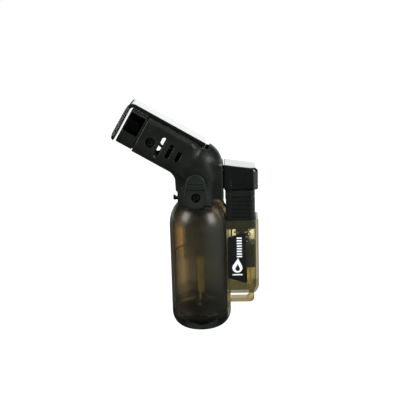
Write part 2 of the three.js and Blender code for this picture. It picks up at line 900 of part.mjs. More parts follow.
add("cap_lever", capLever(), glossBlack);
add("cap_hinge_pin", crossRod(0.6, capHingeAt, -6.4, 6.4, 14), steel);
add(
  "cap_spring",
  coil(0.95, 0.14, 5, 3.6).rotateX(-Math.PI / 2).translate(capHingeAt.x, -1.8, capHingeAt.y),
  steel,
);

// ---- gas lever, which lifts the valve stem ----

function gasLever() {
  const { x, y: z } = GAS_PIVOT;
  const prongs = [-1, 1].map((side) =>
    block([-1.6, Math.min(side * 1.5, side * 2.7), z - 0.9], [x, Math.max(side * 1.5, side * 2.7), z + 0.2]),
  );
  const hub = crossRod(1.7, GAS_PIVOT, -4, 2.7);
  const arm = outline([
    [x, z - 1.1],
    [GAS_FOLLOWER.x + 0.9, GAS_FOLLOWER.y - 0.9],
    [GAS_FOLLOWER.x + 0.9, GAS_FOLLOWER.y + 0.8],
    [x, z + 1.2],
  ]);
  const follower = crossRod(FOLLOWER_RADIUS - 0.1, GAS_FOLLOWER, -FORK_OUTER, -3, 12);
  return cut(
    join(...prongs, hub, sideways(arm, -4, -2.7), follower),
    crossRod(0.7 + GAP, GAS_PIVOT, -9, 9, 14),
  );
}

add("gas_lever", gasLever(), casingBlack);
add("gas_lever_pin", crossRod(0.7, GAS_PIVOT, -8.1, 8.1, 14), steel);

// ---- trigger ----

// The path of a lever's follower, as the descending trigger sees it.
function camPath(pivot, follower, swing, steps = 8) {
  return Array.from({ length: steps + 1 }, (_, i) => {
    const share = i / steps;
    const arm = follower.clone().sub(pivot).rotateAround(new THREE.Vector2(), -swing * share);
    return arm.add(pivot).add(new THREE.Vector2(0, TRIGGER_TRAVEL * share));
  });
}

function triggerFork() {
  const nearPlate = outline([[6.7, 66.7], [15.1, 66.7], [15.1, 75.2], [6.7, 75.2]]);
  const farPlate = outline([
    [15.1, 70.6],
    [15.1, 75.2],
    [9.6, 75.2],
    [8.4, 76.1],
    [2.8, 80.3],
    [1.6, 81],
    [-0.2, 80.6],
    [-0.2, 77.6],
    [3.6, 75.2],
    [6, 72.7],
    [9.4, 70.6],
  ]);
  const bridge = block([13.9, -FORK_OUTER, 66.7], [15.1, FORK_OUTER, 75.2]);
  const capSlot = slotAround(camPath(capHingeAt, CAP_FOLLOWER, CAP_SWING), FOLLOWER_RADIUS + GAP);
  const gasSlot = slotAround(camPath(GAS_PIVOT, GAS_FOLLOWER, GAS_SWING), FOLLOWER_RADIUS - 0.1 + GAP);
  return cut(
    join(
      sideways(nearPlate, -FORK_OUTER, -FORK_INNER),
      sideways(farPlate, FORK_INNER, FORK_OUTER),
      bridge,
    ),
    sideways(capSlot, 1, 9),
    sideways(gasSlot, -9, -1),
  );
}

function triggerCap() {
  const side = new THREE.Shape();
  side.moveTo(TRIGGER_FRONT, CAP_SKIRT);
  side.lineTo(TRIGGER_BACK - 0.8, CAP_SKIRT);
  side.absarc(TRIGGER_BACK - 0.8, CAP_SKIRT + 0.8, 0.8, -Math.PI / 2, 0);
  side.lineTo(TRIGGER_BACK, 68.7);
  side.lineTo(TRIGGER_BACK - 0.6, 68.7);
  side.lineTo(TRIGGER_BACK - 0.6, 69.2);
  side.lineTo(TRIGGER_BACK, 69.2);
  side.lineTo(TRIGGER_BACK - 0.1, 74);
  side.absarc(TRIGGER_BACK - 2.4, 74, 2.3, 0, Math.PI / 2);
  side.quadraticCurveTo(18.5, 76.5, TRIGGER_FRONT, 77.9);
  const hollow = outline([[10, 60], [25.7, 60], [25.7, 73.8], [24.4, 74.9], [19, 75.4], [10, 77]]);
  return cut(solid(sideways(side, -TRIGGER_HALF, TRIGGER_HALF)), sideways(hollow, -5.9, 5.9));
}

function triggerSleeve() {
  const wall = 1.2;
  // Slightly rounded at the front, and rounded like the column's inside at the rear.
  const plan = outline([
    [SLEEVE_FRONT, -SLEEVE_HALF],
    [SLEEVE_BACK - SLEEVE_CORNER, -SLEEVE_HALF],
    ...arc(5, (a) => [
      SLEEVE_BACK - SLEEVE_CORNER * (1 - Math.sin(a)),
      -SLEEVE_HALF + SLEEVE_CORNER * (1 - Math.cos(a)),
    ]).slice(1),
    ...arc(5, (a) => [
      SLEEVE_BACK - SLEEVE_CORNER * (1 - Math.cos(a)),
      SLEEVE_HALF - SLEEVE_CORNER * (1 - Math.sin(a)),
    ]),
    [SLEEVE_FRONT, SLEEVE_HALF],
  ]);
  const outer = upright(plan, SLEEVE_BOTTOM, CAP_SKIRT - GAP);
  const plug = block([15.5, -5.5, CAP_SKIRT - 3], [24.9, 5.5, 73.2]);
  const inside = SLEEVE_HALF - wall;
  const grooves = [0, 1, 2, 3, 4, 5].map((i) =>
    cut(
      solid(block([14.6, -SLEEVE_HALF - 1, 52.9 + 2.1 * i], [30, SLEEVE_HALF + 1, 53.5 + 2.1 * i])),
      block([10, -SLEEVE_HALF + 0.35, 40], [SLEEVE_BACK - 0.35, SLEEVE_HALF - 0.35, 70]),
    ),
  );
  const body = cut(
    join(outer, plug),
    block([SLEEVE_FRONT + wall, -inside, 40], [SLEEVE_BACK - wall, inside, 62]),
    block([SLEEVE_FRONT - 1, -inside, 40], [SLEEVE_FRONT + wall + 1, inside, 63.4]),
    turned([[0, 40], [TANK_RADIUS + 0.35, 40], [TANK_RADIUS + 0.35, 62], [0, 62]], 48),
  );
  return grooves.reduce((left, groove) => left.subtract(groove), body);
}

add("trigger_cap", triggerCap(), glossBlack);
add("trigger_sleeve", triggerSleeve(), ribbedBlack);
add("trigger_fork", triggerFork(), ribbedBlack);

// ---- piezo igniter ----

function piezoBody() {
  const { front, back, half, low, high } = PIEZO;
  return cut(
    solid(block([front, -half, low], [back, half, high])),
    rod(3.2, [IGNITER_AXIS, 0, 31.6], [IGNITER_AXIS, 0, high + 1], 20),
  );
}

add("piezo_body", piezoBody(), ribbedBlack);
add(
  "piezo_terminal",
  block([21.2, -2.2, COLUMN_BOTTOM + COLUMN_WALL + GAP], [24, 2.2, PIEZO.low - GAP]),
  brass,
);
add("piezo_plunger", rod(2.9, [IGNITER_AXIS, 0, 37.2], [IGNITER_AXIS, 0, 61.7], 20), casingBlack);
add("trigger_spring", coil(3.75, 0.32, 8, 21).translate(IGNITER_AXIS, 0, PIEZO.high + 0.5), steel);

// ---- label on the column ----

const LABEL_OUTLINE = [[12.7, 25.3], [21.65, 22.6], [21.3, 47.2], [12.9, 44.7]];
add("label_plate", sideways(outline(LABEL_OUTLINE), -COLUMN_HALF - 0.45, -COLUMN_HALF - 0.05), labelBlack);

export default torch;
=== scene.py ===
import math

import bmesh
import bpy
import numpy as np
from mathutils import Matrix, Vector


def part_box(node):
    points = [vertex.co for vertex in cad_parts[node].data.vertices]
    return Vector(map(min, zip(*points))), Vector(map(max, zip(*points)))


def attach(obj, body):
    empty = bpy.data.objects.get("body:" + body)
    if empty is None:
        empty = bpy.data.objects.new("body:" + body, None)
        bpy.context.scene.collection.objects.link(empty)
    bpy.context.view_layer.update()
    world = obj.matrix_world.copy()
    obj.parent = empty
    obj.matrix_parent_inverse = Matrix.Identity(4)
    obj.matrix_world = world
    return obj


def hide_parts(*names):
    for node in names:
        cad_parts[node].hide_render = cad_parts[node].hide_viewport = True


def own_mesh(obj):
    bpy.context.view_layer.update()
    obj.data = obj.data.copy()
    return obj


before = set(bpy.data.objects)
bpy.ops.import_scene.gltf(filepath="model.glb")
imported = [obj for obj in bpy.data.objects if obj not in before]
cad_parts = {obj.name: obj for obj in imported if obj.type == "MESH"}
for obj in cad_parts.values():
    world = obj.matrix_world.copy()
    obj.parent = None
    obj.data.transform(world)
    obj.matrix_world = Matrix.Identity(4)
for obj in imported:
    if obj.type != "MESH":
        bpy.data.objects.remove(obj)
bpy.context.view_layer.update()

MM = 0.001
AXIS_X = sum(corner.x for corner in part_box("tank_base")) / 2

# ---- driving dimensions, in millimetres ----

TANK_RADIUS = 13.8
TANK_WALL = 1.4
BASE_TOP = 8.9
FOOT_RADIUS = 8.0
FOOT_CORNER = 7.0
SHOULDER_START = 48.6
SHOULDER_RISE = 11.6
SHOULDER_INSET = 6.6
WEB_BACK = 11.4
FUEL_LEVEL = 35.6
CLEARANCE = 0.3  # between the tank's shoulder and what sits round it
COLUMN_BACK = 27.1
COLUMN_HALF = 8.7
COLUMN_BOTTOM = 17.7
COLUMN_TOP = 62.05
COLUMN_WALL = 1.1
LOOP_OUTER = ((0, 24.9), (11.2, 24.0))
LOOP_INNER = ((-8, 22.4), (12.9, 26.0))
LOOP_HALF = 2.9
TRIGGER_FRONT = 11.8
TRIGGER_BACK = 27.15
TRIGGER_HALF = 7.1
SLEEVE_FRONT = 12.2
SLEEVE_BACK = 25.6

BARREL_TILT = math.radians(30.5)
BARREL_MID = 67.0
BARREL_FRONT = 68.5
MOUTH = 76.8
CAP_HINGE = (41.0, 75.1)
FRONT_SCREW = (62.9, 66.2)
LOCK_PIVOT = (-0.93, 63.8)
IGNITER_AXIS = 19.6

COS = math.cos(BARREL_TILT)
SIN = math.sin(BARREL_TILT)


def on_barrel(s, t):
    """Where a point s along the barrel and t across it lies, as (x, z)."""
    return (-COS * s + SIN * t, SIN * s + COS * t)


def barrel_frame(x, z):
    """How far along and across the barrel a point lies."""
    return -COS * x + SIN * z, SIN * x + COS * z


# ---- distances ----


def both(a, b, r=0.0):
    """What two solids share, with the edge between them rounded to r."""
    if np.ndim(r) == 0 and r == 0:
        return np.maximum(a, b)
    rounded = np.hypot(np.maximum(a + r, 0), np.maximum(b + r, 0))
    return np.minimum(-r, np.maximum(a, b)) + rounded


def either(a, b, r=0.0):
    """Two solids joined, with a fillet of r between them."""
    return -both(-a, -b, r)


def less(a, b, r=0.0):
    return both(a, -b, r)


def every(*parts, r=0.0):
    result = parts[0]
    for part in parts[1:]:
        result = both(result, part, r)
    return result


def between(v, low, high):
    return np.maximum(low - v, v - high)


def easing(v, low, high):
    """Rises smoothly from 0 at low to 1 at high."""
    share = np.clip((v - low) / (high - low), 0, 1)
    return share * share * (3 - 2 * share)


def rectangle(u, v, u_span, v_span, r=0.0):
    du = np.abs(u - sum(u_span) / 2) - (u_span[1] - u_span[0]) / 2 + r
    dv = np.abs(v - sum(v_span) / 2) - (v_span[1] - v_span[0]) / 2 + r
    return np.minimum(np.maximum(du, dv), 0) + np.hypot(np.maximum(du, 0), np.maximum(dv, 0)) - r


def band(u, v, half, low, high, r_low, r_high):
    """A section as wide as 2 * half, from low to high, with its own corner radius at each end."""
    lower = both(np.abs(u) - half, low - v, r_low)
    return both(lower, v - high, r_high)


def convex(u, v, points, r=0.0):
    """A convex outline of anticlockwise points, with its corners rounded to r."""
    result = None
    for (u0, v0), (u1, v1) in zip(points, points[1:] + points[:1]):
        length = math.hypot(u1 - u0, v1 - v0)
        side = ((u - u0) * (v1 - v0) - (v - v0) * (u1 - u0)) / length
        result = side if result is None else both(result, side, r)
    return result


def capsule(u, v, start, end, r):
    du, dv = end[0] - start[0], end[1] - start[1]
    share = np.clip(((u - start[0]) * du + (v - start[1]) * dv) / (du * du + dv * dv), 0, 1)
    return np.hypot(u - start[0] - share * du, v - start[1] - share * dv) - r


def disc(u, v, centre, r):
    return np.hypot(u - centre[0], v - centre[1]) - r


def oval(u, v, a, b, power=2.0):
    """Nearly the distance to a squarish oval of half widths a and b."""
    pu, pv = np.abs(u / a) + 1e-9, np.abs(v / b) + 1e-9
    k = (pu**power + pv**power) ** (1 / power)
    slope = k ** (1 - power) * np.hypot(pu ** (power - 1) / a, pv ** (power - 1) / b)
    return (k - 1) / slope


def dome(rho, z, offset=0.0):
    """The tank's side and shoulder, grown by offset."""
    across = np.maximum(rho - (TANK_RADIUS - SHOULDER_INSET), 0)
    up = np.maximum(z - SHOULDER_START, 0)
    bend = oval(across, up, SHOULDER_INSET + offset, SHOULDER_RISE + offset)
    return np.where(up > 0, bend, rho - TANK_RADIUS - offset)


# ---- meshing ----

CORNERS = np.array([(i, j, k) for i in (0, 1) for j in (0, 1) for k in (0, 1)])
EDGES = [(a, b) for a in range(8) for b in range(a + 1, 8) if abs(CORNERS[a] - CORNERS[b]).sum() == 1]


def slope_of(field, points, step=0.02):
    """The field and its gradient at some points."""
    ahead_and_behind = [
        field(*(points + move).T) - field(*(points - move).T) for move in np.eye(3) * step
    ]
    return field(*points.T), np.stack(ahead_and_behind, axis=1) / (2 * step)


def net_faces(inside, number):
    """One quad for each grid edge that crosses the surface."""
    quads = []
    for axis in range(3):
        ends = np.moveaxis(inside, axis, 0)
        cells = np.moveaxis(number, axis, 0)
        if axis == 1:  # keeps the two other axes in right-handed order
            ends, cells = ends.swapaxes(1, 2), cells.swapaxes(1, 2)
        low, high = ends[:-1, 1:-1, 1:-1], ends[1:, 1:-1, 1:-1]
        around = [cells[:, :-1, :-1], cells[:, 1:, :-1], cells[:, 1:, 1:], cells[:, :-1, 1:]]
        for crossing, order in ((low & ~high, (0, 1, 2, 3)), (high & ~low, (3, 2, 1, 0))):
            quads.append(np.stack([around[i][crossing] for i in order], axis=1))
    return np.concatenate(quads)


def surface_net(field, low, high, cell):
    """Points, quads and normals on the zero surface of a field."""
    axes = [np.arange(a - 2 * cell, b + 3 * cell, cell, dtype=np.float32) for a, b in zip(low, high)]
    x, y, z = np.meshgrid(*axes, indexing="ij", sparse=True)
    shape = tuple(len(a) for a in axes)
    value = np.array(np.broadcast_to(field(x, y, z), shape), np.float32)
    inside = value < 0
    span = [slice(0, n - 1) for n in shape]
    shifted = [tuple(slice(s.start + o, s.stop + o) for s, o in zip(span, c)) for c in CORNERS]
    count = sum(inside[s].astype(np.int8) for s in shifted)
    active = (count > 0) & (count < 8)
    number = np.full(active.shape, -1)
    number[active] = np.arange(active.sum())
    at_corner = np.stack([value[s][active] for s in shifted], axis=1)
    total = np.zeros((len(at_corner), 3))
    hits = np.zeros(len(at_corner))
    for a, b in EDGES:
        va, vb = at_corner[:, a], at_corner[:, b]
        crosses = (va < 0) != (vb < 0)
        share = np.where(crosses, va / np.where(crosses, va - vb, 1), 0)
        total += crosses[:, None] * (CORNERS[a] + share[:, None] * (CORNERS[b] - CORNERS[a]))
        hits += crosses
    origin = np.array([a[0] for a in axes], float)
    points = origin + (np.argwhere(active) + total / hits[:, None]) * cell
    for _ in range(3):
        distance, gradient = slope_of(field, points)
        steepness = np.maximum((gradient**2).sum(1), 0.05)
        step = np.clip(distance / steepness, -0.4 * cell, 0.4 * cell)
        points -= gradient * step[:, None]
    _, normals = slope_of(field, points)
    normals /= np.maximum(np.linalg.norm(normals, axis=1), 1e-9)[:, None]
    return points, net_faces(inside, number), normals


def link(name, data):
    obj = bpy.data.objects.new(name, data)
    bpy.context.scene.collection.objects.link(obj)
    return obj


def meshed(name, points, faces):
    """A mesh from points in millimetres about the tank's axis."""
    mesh = bpy.data.meshes.new(name)
    metres = np.asarray(points, float) * MM + np.array([AXIS_X, 0, 0])
    mesh.from_pydata(metres.tolist(), [], faces)
    return mesh


def moulded(name, field, low, high, cell):
    """A piece with rounded edges, meshed from its distance field."""
    points, quads, normals = surface_net(field, low, high, cell)
    mesh = meshed(name, points, quads.tolist())
    mesh.shade_smooth()
    mesh.normals_split_custom_set_from_vertices(normals.tolist())
    return link(name, mesh)


def softened(outline, r, steps=3):
    """A closed outline with each corner off the axis turned into an arc."""
    result = []
    count = len(outline)
    for i, here in enumerate(outline):
        before, after = outline[i - 1], outline[(i + 1) % count]
        here, before, after = (np.array(p, float) for p in (here, before, after))
        to_before, to_after = before - here, after - here
        lengths = np.linalg.norm(to_before), np.linalg.norm(to_after)
        reach = min(r, 0.45 * lengths[0], 0.45 * lengths[1])
        if here[0] < 1e-6 or reach < 1e-4:
            result.append(tuple(here))
            continue
        start = here + to_before / lengths[0] * reach
        end = here + to_after / lengths[1] * reach
        for u in np.linspace(0, 1, steps + 1):
            result.append(tuple((1 - u) ** 2 * start + 2 * u * (1 - u) * here + u**2 * end))
    return result


def turned(name, outline, segments=72, soften=0.12, place=None):
    """A piece turned about the Z axis from a closed anticlockwise outline of (radius, z)."""
    profile = np.array(softened(outline, soften))
    angles = np.linspace(0, 2 * math.pi, segments, endpoint=False)
    ring = np.stack([np.cos(angles), np.sin(angles)], axis=1)
    points = np.concatenate(
        [profile[:, :1, None] * ring[None], np.repeat(profile[:, 1:, None], segments, 1)], axis=2
    ).reshape(-1, 3)
    if place is not None:
        points = np.array([place @ Vector(p) for p in points])
    rows = len(profile)
    faces = [
        (i * segments + j, i * segments + k, m * segments + k, m * segments + j)
        for i in range(rows)
        for m in [(i + 1) % rows]
        for j in range(segments)
        for k in [(j + 1) % segments]
        if profile[i][0] > 1e-6 or profile[m][0] > 1e-6
    ]
    mesh = meshed(name, points, faces)
    clean(mesh)
    mesh.shade_smooth()
    mesh.set_sharp_from_angle(angle=math.radians(40))
    return link(name, mesh)


def clean(mesh):
    """Joins the copies of a point on the axis and drops the faces that this empties."""
    work = bmesh.new()
    work.from_mesh(mesh)
    bmesh.ops.remove_doubles(work, verts=work.verts, dist=1e-7)
    bmesh.ops.dissolve_degenerate(work, edges=work.edges, dist=1e-8)
    bmesh.ops.recalc_face_normals(work, faces=work.faces)
    work.to_mesh(mesh)
    work.free()


def smooth_route(points, steps=8):
    """A centripetal curve through some points."""
    control = [np.array(p, float) for p in points]
    control = [2 * control[0] - control[1], *control, 2 * control[-1] - control[-2]]
    result = [control[1]]
    for four in zip(control, control[1:], control[2:], control[3:]):
        t = [0.0]
        for a, b in zip(four, four[1:]):
            t.append(t[-1] + max(np.linalg.norm(b - a), 1e-6) ** 0.5)
        for u in np.linspace(t[1], t[2], steps + 1)[1:]:
            level = four
            for spans in (((0, 1), (1, 2), (2, 3)), ((0, 2), (1, 3)), ((1, 2),)):
                level = [
                    (t[j] - u) / (t[j] - t[i]) * p + (u - t[i]) / (t[j] - t[i]) * q
                    for (i, j), p, q in zip(spans, level, level[1:])
                ]
            result.append(level[0])
    return np.array(result)


def swept(name, path, radius, sides=16, bore=0.0):
    """A round bar, or a tube with a bore, along a path."""
    path = np.array(path, float)
    along = np.gradient(path, axis=0)
    along /= np.linalg.norm(along, axis=1)[:, None]
    side = np.cross(along[0], (0.31, 0.87, 0.39))
    sides_at = []
    for direction in along:
        side = side - direction * side.dot(direction)
        side /= np.linalg.norm(side)
        sides_at.append(side)
    sides_at = np.array(sides_at)
    other = np.cross(along, sides_at)
    angles = np.linspace(0, 2 * math.pi, sides, endpoint=False)
    rings = []
    for r in [radius] + ([bore] if bore else []):
        circle = r * (
            np.cos(angles)[None, :, None] * sides_at[:, None] + np.sin(angles)[None, :, None] * other[:, None]
        )
        rings.append((path[:, None] + circle).reshape(-1, 3))
    count, last = len(path), (len(path) - 1) * sides
    pairs = [(j, (j + 1) % sides) for j in range(sides)]
    faces = []
    for layer in range(len(rings)):
        base = layer * count * sides
        for a in range(base, base + last, sides):
            quads = [(a + j, a + k, a + sides + k, a + sides + j) for j, k in pairs]
            faces += [quad[::-1] for quad in quads] if layer else quads
    if bore:
        inner = count * sides
        for j, k in pairs:
            faces.append((k, j, inner + j, inner + k))
            faces.append((last + j, last + k, inner + last + k, inner + last + j))
    else:
        faces += [tuple(reversed(range(sides))), tuple(range(last, last + sides))]
    mesh = meshed(name, np.concatenate(rings), faces)
    mesh.shade_smooth()
    mesh.set_sharp_from_angle(angle=math.radians(50))
    return link(name, mesh)


def spring_path(radius, turns, low, high, wire, steps=20):
    """A compression spring's centreline, with a closed turn at each end."""
    u = np.linspace(0, 1, int(steps * (turns + 2)) + 1)
    angle = 2 * math.pi * (turns + 2) * u
    share = np.clip((u * (turns + 2) - 1) / turns, 0, 1)
    closed = wire * 1.05 * (np.clip(u * (turns + 2), 0, 1) + np.clip(u * (turns + 2) - turns - 1, 0, 1))
    z = low + wire + closed * 2 + share * (high - low - 2 * wire - 4.2 * wire)
    return np.stack([radius * np.cos(angle), radius * np.sin(angle), z], axis=1)


# ---- materials ----


class Graph:
    """A node tree, with short ways to add nodes and join them."""

    def __init__(self, tree):
        self.tree = tree

    def add(self, kind, links=(), **settings):
        node = self.tree.nodes.new(kind)
        for key, value in settings.items():
            setattr(node, key, value)
        for socket, source in dict(links).items():
            self.join(source, node.inputs[socket])
        return node

    def join(self, source, socket):
        if isinstance(source, bpy.types.NodeSocket):
            self.tree.links.new(source, socket)
        else:
            socket.default_value = source

    def remap(self, value, low, high, to_low=0, to_high=1, kind="LINEAR"):
        names = ("From Min", "From Max", "To Min", "To Max")
        links = {"Value": value, **dict(zip(names, (low, high, to_low, to_high)))}
        return self.add("ShaderNodeMapRange", links, interpolation_type=kind).outputs[0]

    def mixed(self, factor, a, b):
        """Shader a turning into shader b."""
        return self.add("ShaderNodeMixShader", {0: factor, 1: a, 2: b}).outputs[0]


class Nodes(Graph):
    """A material's node tree, with what the materials here share."""

    def __init__(self, name):
        self.material = bpy.data.materials.new(name)
        self.material.use_nodes = True
        super().__init__(self.material.node_tree)
        self.shader = self.tree.nodes["Principled BSDF"]
        self.out = self.tree.nodes["Material Output"]
        self.place = self.add("ShaderNodeTexCoord").outputs["Object"]

    def set(self, **values):
        for name, value in values.items():
            self.join(value, self.shader.inputs[name.replace("_", " ")])

    def noise(self, scale, detail=3.0, stretch=(1, 1, 1), distortion=0.0):
        at = self.add("ShaderNodeMapping", {"Vector": self.place, "Scale": stretch}).outputs[0]
        links = {"Vector": at, "Scale": scale, "Detail": detail, "Distortion": distortion}
        return self.add("ShaderNodeTexNoise", links).outputs[0]

    def grains(self, scale):
        links = {"Vector": self.place, "Scale": scale}
        return self.add("ShaderNodeTexVoronoi", links, feature="SMOOTH_F1").outputs[0]

    def tint(self, factor, first, second):
        return self.shades(factor, [(0, *first), (1, *second)])

    def shades(self, factor, stops):
        """A colour that runs through stops of (place, red, green, blue)."""
        ramp = self.add("ShaderNodeValToRGB", {"Fac": factor})
        elements = ramp.color_ramp.elements
        for _ in stops[2:]:
            elements.new(0.5)
        for element, (at, *colour) in zip(elements, stops):
            element.position = at
            element.color = (*colour, 1)
        return ramp.outputs[0]

    def along(self, axis, low, high, smooth=False):
        """How far a point lies from low to high along an axis, in millimetres from the tank's axis."""
        shift = AXIS_X if axis == "X" else 0.0
        place = self.add("ShaderNodeSeparateXYZ", {"Vector": self.place}).outputs[axis]
        kind = "SMOOTHSTEP" if smooth else "LINEAR"
        return self.remap(place, shift + low * MM, shift + high * MM, kind=kind)

    def multiplied(self, a, b):
        return self.add("ShaderNodeMath", {0: a, 1: b}, operation="MULTIPLY").outputs[0]

    def blended(self, factor, a, b, kind="MIX"):
        """Colour a turning into colour b, or into the product of both for MULTIPLY."""
        links = {0: factor, 6: a, 7: b}
        return self.add("ShaderNodeMix", links, data_type="RGBA", blend_type=kind).outputs[2]

    def see_through(self, tint, open_facing, open_edge, for_lamps):
        """Lets tinted light through, less of it at the edges, where the way through the wall is longer."""
        edge = self.add("ShaderNodeLayerWeight", {"Blend": 0.5}).outputs["Facing"]
        share = self.remap(edge, 0.25, 1.0, open_facing, open_edge)
        clear = self.add("ShaderNodeBsdfTransparent", {"Color": tint}).outputs[0]
        wall = self.mixed(share, self.shader.outputs[0], clear)
        lamps = self.add("ShaderNodeBsdfTransparent", {"Color": (*for_lamps, 1)}).outputs[0]
        shadow = self.add("ShaderNodeLightPath").outputs["Is Shadow Ray"]
        self.join(self.mixed(shadow, wall, lamps), self.out.inputs["Surface"])

    def bump(self, height, depth, normal=None):
        links = {"Height": height, "Distance": depth, "Strength": 1.0}
        if normal is not None:
            links["Normal"] = normal
        return self.add("ShaderNodeBump", links).outputs[0]


def spark_black(name, dark, light, rough, depth=0.00003):
    """Moulded black plastic with the fine even grain of a spark-eroded mould."""
    n = Nodes(name)
    cloud = n.noise(160, 4)
    grain = n.grains(4200)
    n.set(Base_Color=n.tint(n.remap(cloud, 0.35, 0.65), dark, light))
    n.set(Roughness=n.remap(n.noise(900, 3), 0.3, 0.7, *rough))
    n.set(Normal=n.bump(grain, depth, n.bump(n.noise(300, 2), depth)), Specular_IOR_Level=0.24)
    return n.material


def polished_black(name, dark, light, rough):
    """Polished black plastic with faint hairlines and finger marks."""
    n = Nodes(name)
    hairlines = n.noise(500, 5, (1.2, 14, 1.2))
    smears = n.noise(90, 3, distortion=0.6)
    n.set(Base_Color=n.tint(smears, dark, light))
    n.set(Roughness=n.remap(smears, 0.35, 0.75, *rough))
    n.set(Normal=n.bump(hairlines, 0.000001, n.bump(n.noise(45, 1), 0.00001)), Coat_Weight=0.35)
    n.set(Coat_Roughness=0.06)
    return n.material


def smoky_plastic(name):
    """Smoky plastic with a satin skin: a dark tank and a thin-walled column, with light and shade painted
    into its tint.
    """
    n = Nodes(name)
    # Painted light across the tank, left to right: a dark painted left edge, a bright amber painted glow
    # where light comes through the left side, then darker towards the right.
    across = n.along("X", -14, 14)
    liquid = n.shades(across, [
        (0.045, 0.27, 0.25, 0.21), (0.085, 0.84, 0.77, 0.635), (0.2, 0.88, 0.8, 0.64),
        (0.33, 0.63, 0.6, 0.5), (0.48, 0.585, 0.56, 0.465), (0.62, 0.51, 0.51, 0.44),
        (0.95, 0.42, 0.435, 0.38),
    ])
    gas = n.shades(across, [
        (0.045, 0.27, 0.25, 0.21), (0.085, 0.86, 0.77, 0.6), (0.11, 0.93, 0.8, 0.575),
        (0.22, 0.9, 0.77, 0.555), (0.27, 0.52, 0.485, 0.385), (0.5, 0.46, 0.45, 0.37),
        (0.95, 0.38, 0.4, 0.35),
    ])
    # Painted shade under the head: the top of the tank is darker left of the web, lighter again round the
    # web.
    painted_shade_collar = n.shades(across, [
        (0.1, 0.42, 0.4, 0.32), (0.66, 0.38, 0.375, 0.31), (0.76, 0.72, 0.66, 0.54),
        (0.95, 0.86, 0.8, 0.67),
    ])
    tank = n.blended(n.along("Z", 35.5, 36.5, True), liquid, gas)
    tank = n.blended(n.along("Z", 48.5, 53.5, True), tank, painted_shade_collar)
    # Painted shade in bands up the tank: nearly black below about 6 mm, full from 8 to 11 mm, a darker band
    # from 12 to 16 mm, full again above 17 mm.
    depth = n.shades(n.along("Z", 3, 18), [
        (0.2, 0.05, 0.06, 0.05), (0.26, 0.5, 0.52, 0.46), (0.33, 0.95, 0.96, 0.86),
        (0.56, 1, 1, 0.9),
        (0.6, 0.66, 0.7, 0.66), (0.88, 0.74, 0.77, 0.73), (0.94, 1, 1, 1),
    ])
    tank = n.blended(1.0, tank, depth, "MULTIPLY")
    # Painted light and shade on the column: darker at the bottom, a painted pool of light from about 42 to 48
    # mm high, and a darker strip painted along its back.
    column = n.shades(n.along("Z", 11, 61), [
        (0.1, 0.63, 0.55, 0.375), (0.15, 0.61, 0.585, 0.47), (0.25, 0.62, 0.6, 0.48),
        (0.3, 0.8, 0.77, 0.61), (0.56, 0.72, 0.69, 0.57), (0.62, 0.99, 0.96, 0.83),
        (0.73, 0.99, 0.96, 0.83), (0.76, 0.79, 0.775, 0.67),
    ])
    column = n.blended(n.along("X", 24.8, 25.8), column, (0.66, 0.63, 0.49, 1))
    on_column = n.along("X", 12.1, 12.5)
    flow = n.noise(45, 3, (1, 1, 0.3), 0.8)
    dark = n.tint(n.remap(flow, 0.3, 0.7), (0.01, 0.0095, 0.006), (0.016, 0.015, 0.01))
    # Painted shade: the skin darkens towards the foot.
    dark = n.blended(n.along("Z", 11, 5), dark, (0.003, 0.0035, 0.0025, 1))
    # Painted light: the column's skin is painted much lighter than the tank's.
    n.set(Base_Color=n.blended(on_column, dark, (0.1, 0.1, 0.062, 1)))
    n.set(Roughness=n.remap(n.noise(700, 3), 0.3, 0.7, 0.3, 0.36), IOR=1.5)
    n.set(Coat_Weight=1.0, Coat_Roughness=0.27, Coat_IOR=1.6, Normal=n.bump(n.noise(60, 2), 0.000003))
    facing = n.remap(on_column, 0, 1, 0.74, 0.9)
    n.see_through(n.blended(on_column, tank, column), facing, 0.22, (0.84, 0.8, 0.7))
    return n.material


def liquid_fuel(name):
    """Clear fuel, with a line of painted shade where its surface climbs the wall."""
    n = Nodes(name)
    swirl = n.noise(60, 2, distortion=0.5)
    n.set(Base_Color=n.tint(swirl, (0.03, 0.026, 0.016), (0.045, 0.04, 0.026)))
    n.set(Roughness=n.remap(swirl, 0.2, 0.8, 0.05, 0.12), IOR=1.33)
    # Painted shade: a dark line along the fuel's surface on the left side.
    climb = n.multiplied(n.along("Z", FUEL_LEVEL + 0.04, FUEL_LEVEL + 0.12), n.along("X", -4.5, -7.5))
    n.see_through(n.tint(climb, (0.95, 0.93, 0.89), (0.3, 0.28, 0.22)), 0.97, 0.93, (0.92, 0.9, 0.85))
    return n.material


def metal(name, dark, light, rough, lines=(1, 1, 1), depth=0.000006, metallic=1.0):
    """Turned, drawn or plated metal: fine tool lines and a slightly uneven tarnish."""
    n = Nodes(name)
    tarnish = n.noise(400, 4, distortion=0.4)
    n.set(Base_Color=n.tint(n.remap(tarnish, 0.3, 0.7), dark, light), Metallic=metallic)
    n.set(Roughness=n.remap(n.noise(1200, 3), 0.3, 0.7, *rough))
    n.set(Normal=n.bump(n.noise(1800, 4, lines), depth))
    return n.material


def glinting(name):
    """Tarnished plating with a painted glint: one narrow streak painted bright, standing in for a highlight.
    """
    n = Nodes(name)
    # Painted highlight: a narrow speckled streak of bright colour where the valve catches the light.
    streak = n.multiplied(n.along("X", -1.5, -0.9), n.along("X", 0.3, -0.2))
    painted_glint = n.remap(n.noise(420, 3, (1, 1, 0.5), 0.5), 0.4, 0.52, 0, 1)
    n.set(Base_Color=n.tint(n.multiplied(streak, painted_glint), (0.03, 0.03, 0.025), (1.0, 1.0, 1.0)))
    n.set(Roughness=n.remap(painted_glint, 0, 1, 0.55, 0.35), Metallic=0.2, Normal=n.bump(painted_glint, 0.00002))
    return n.material


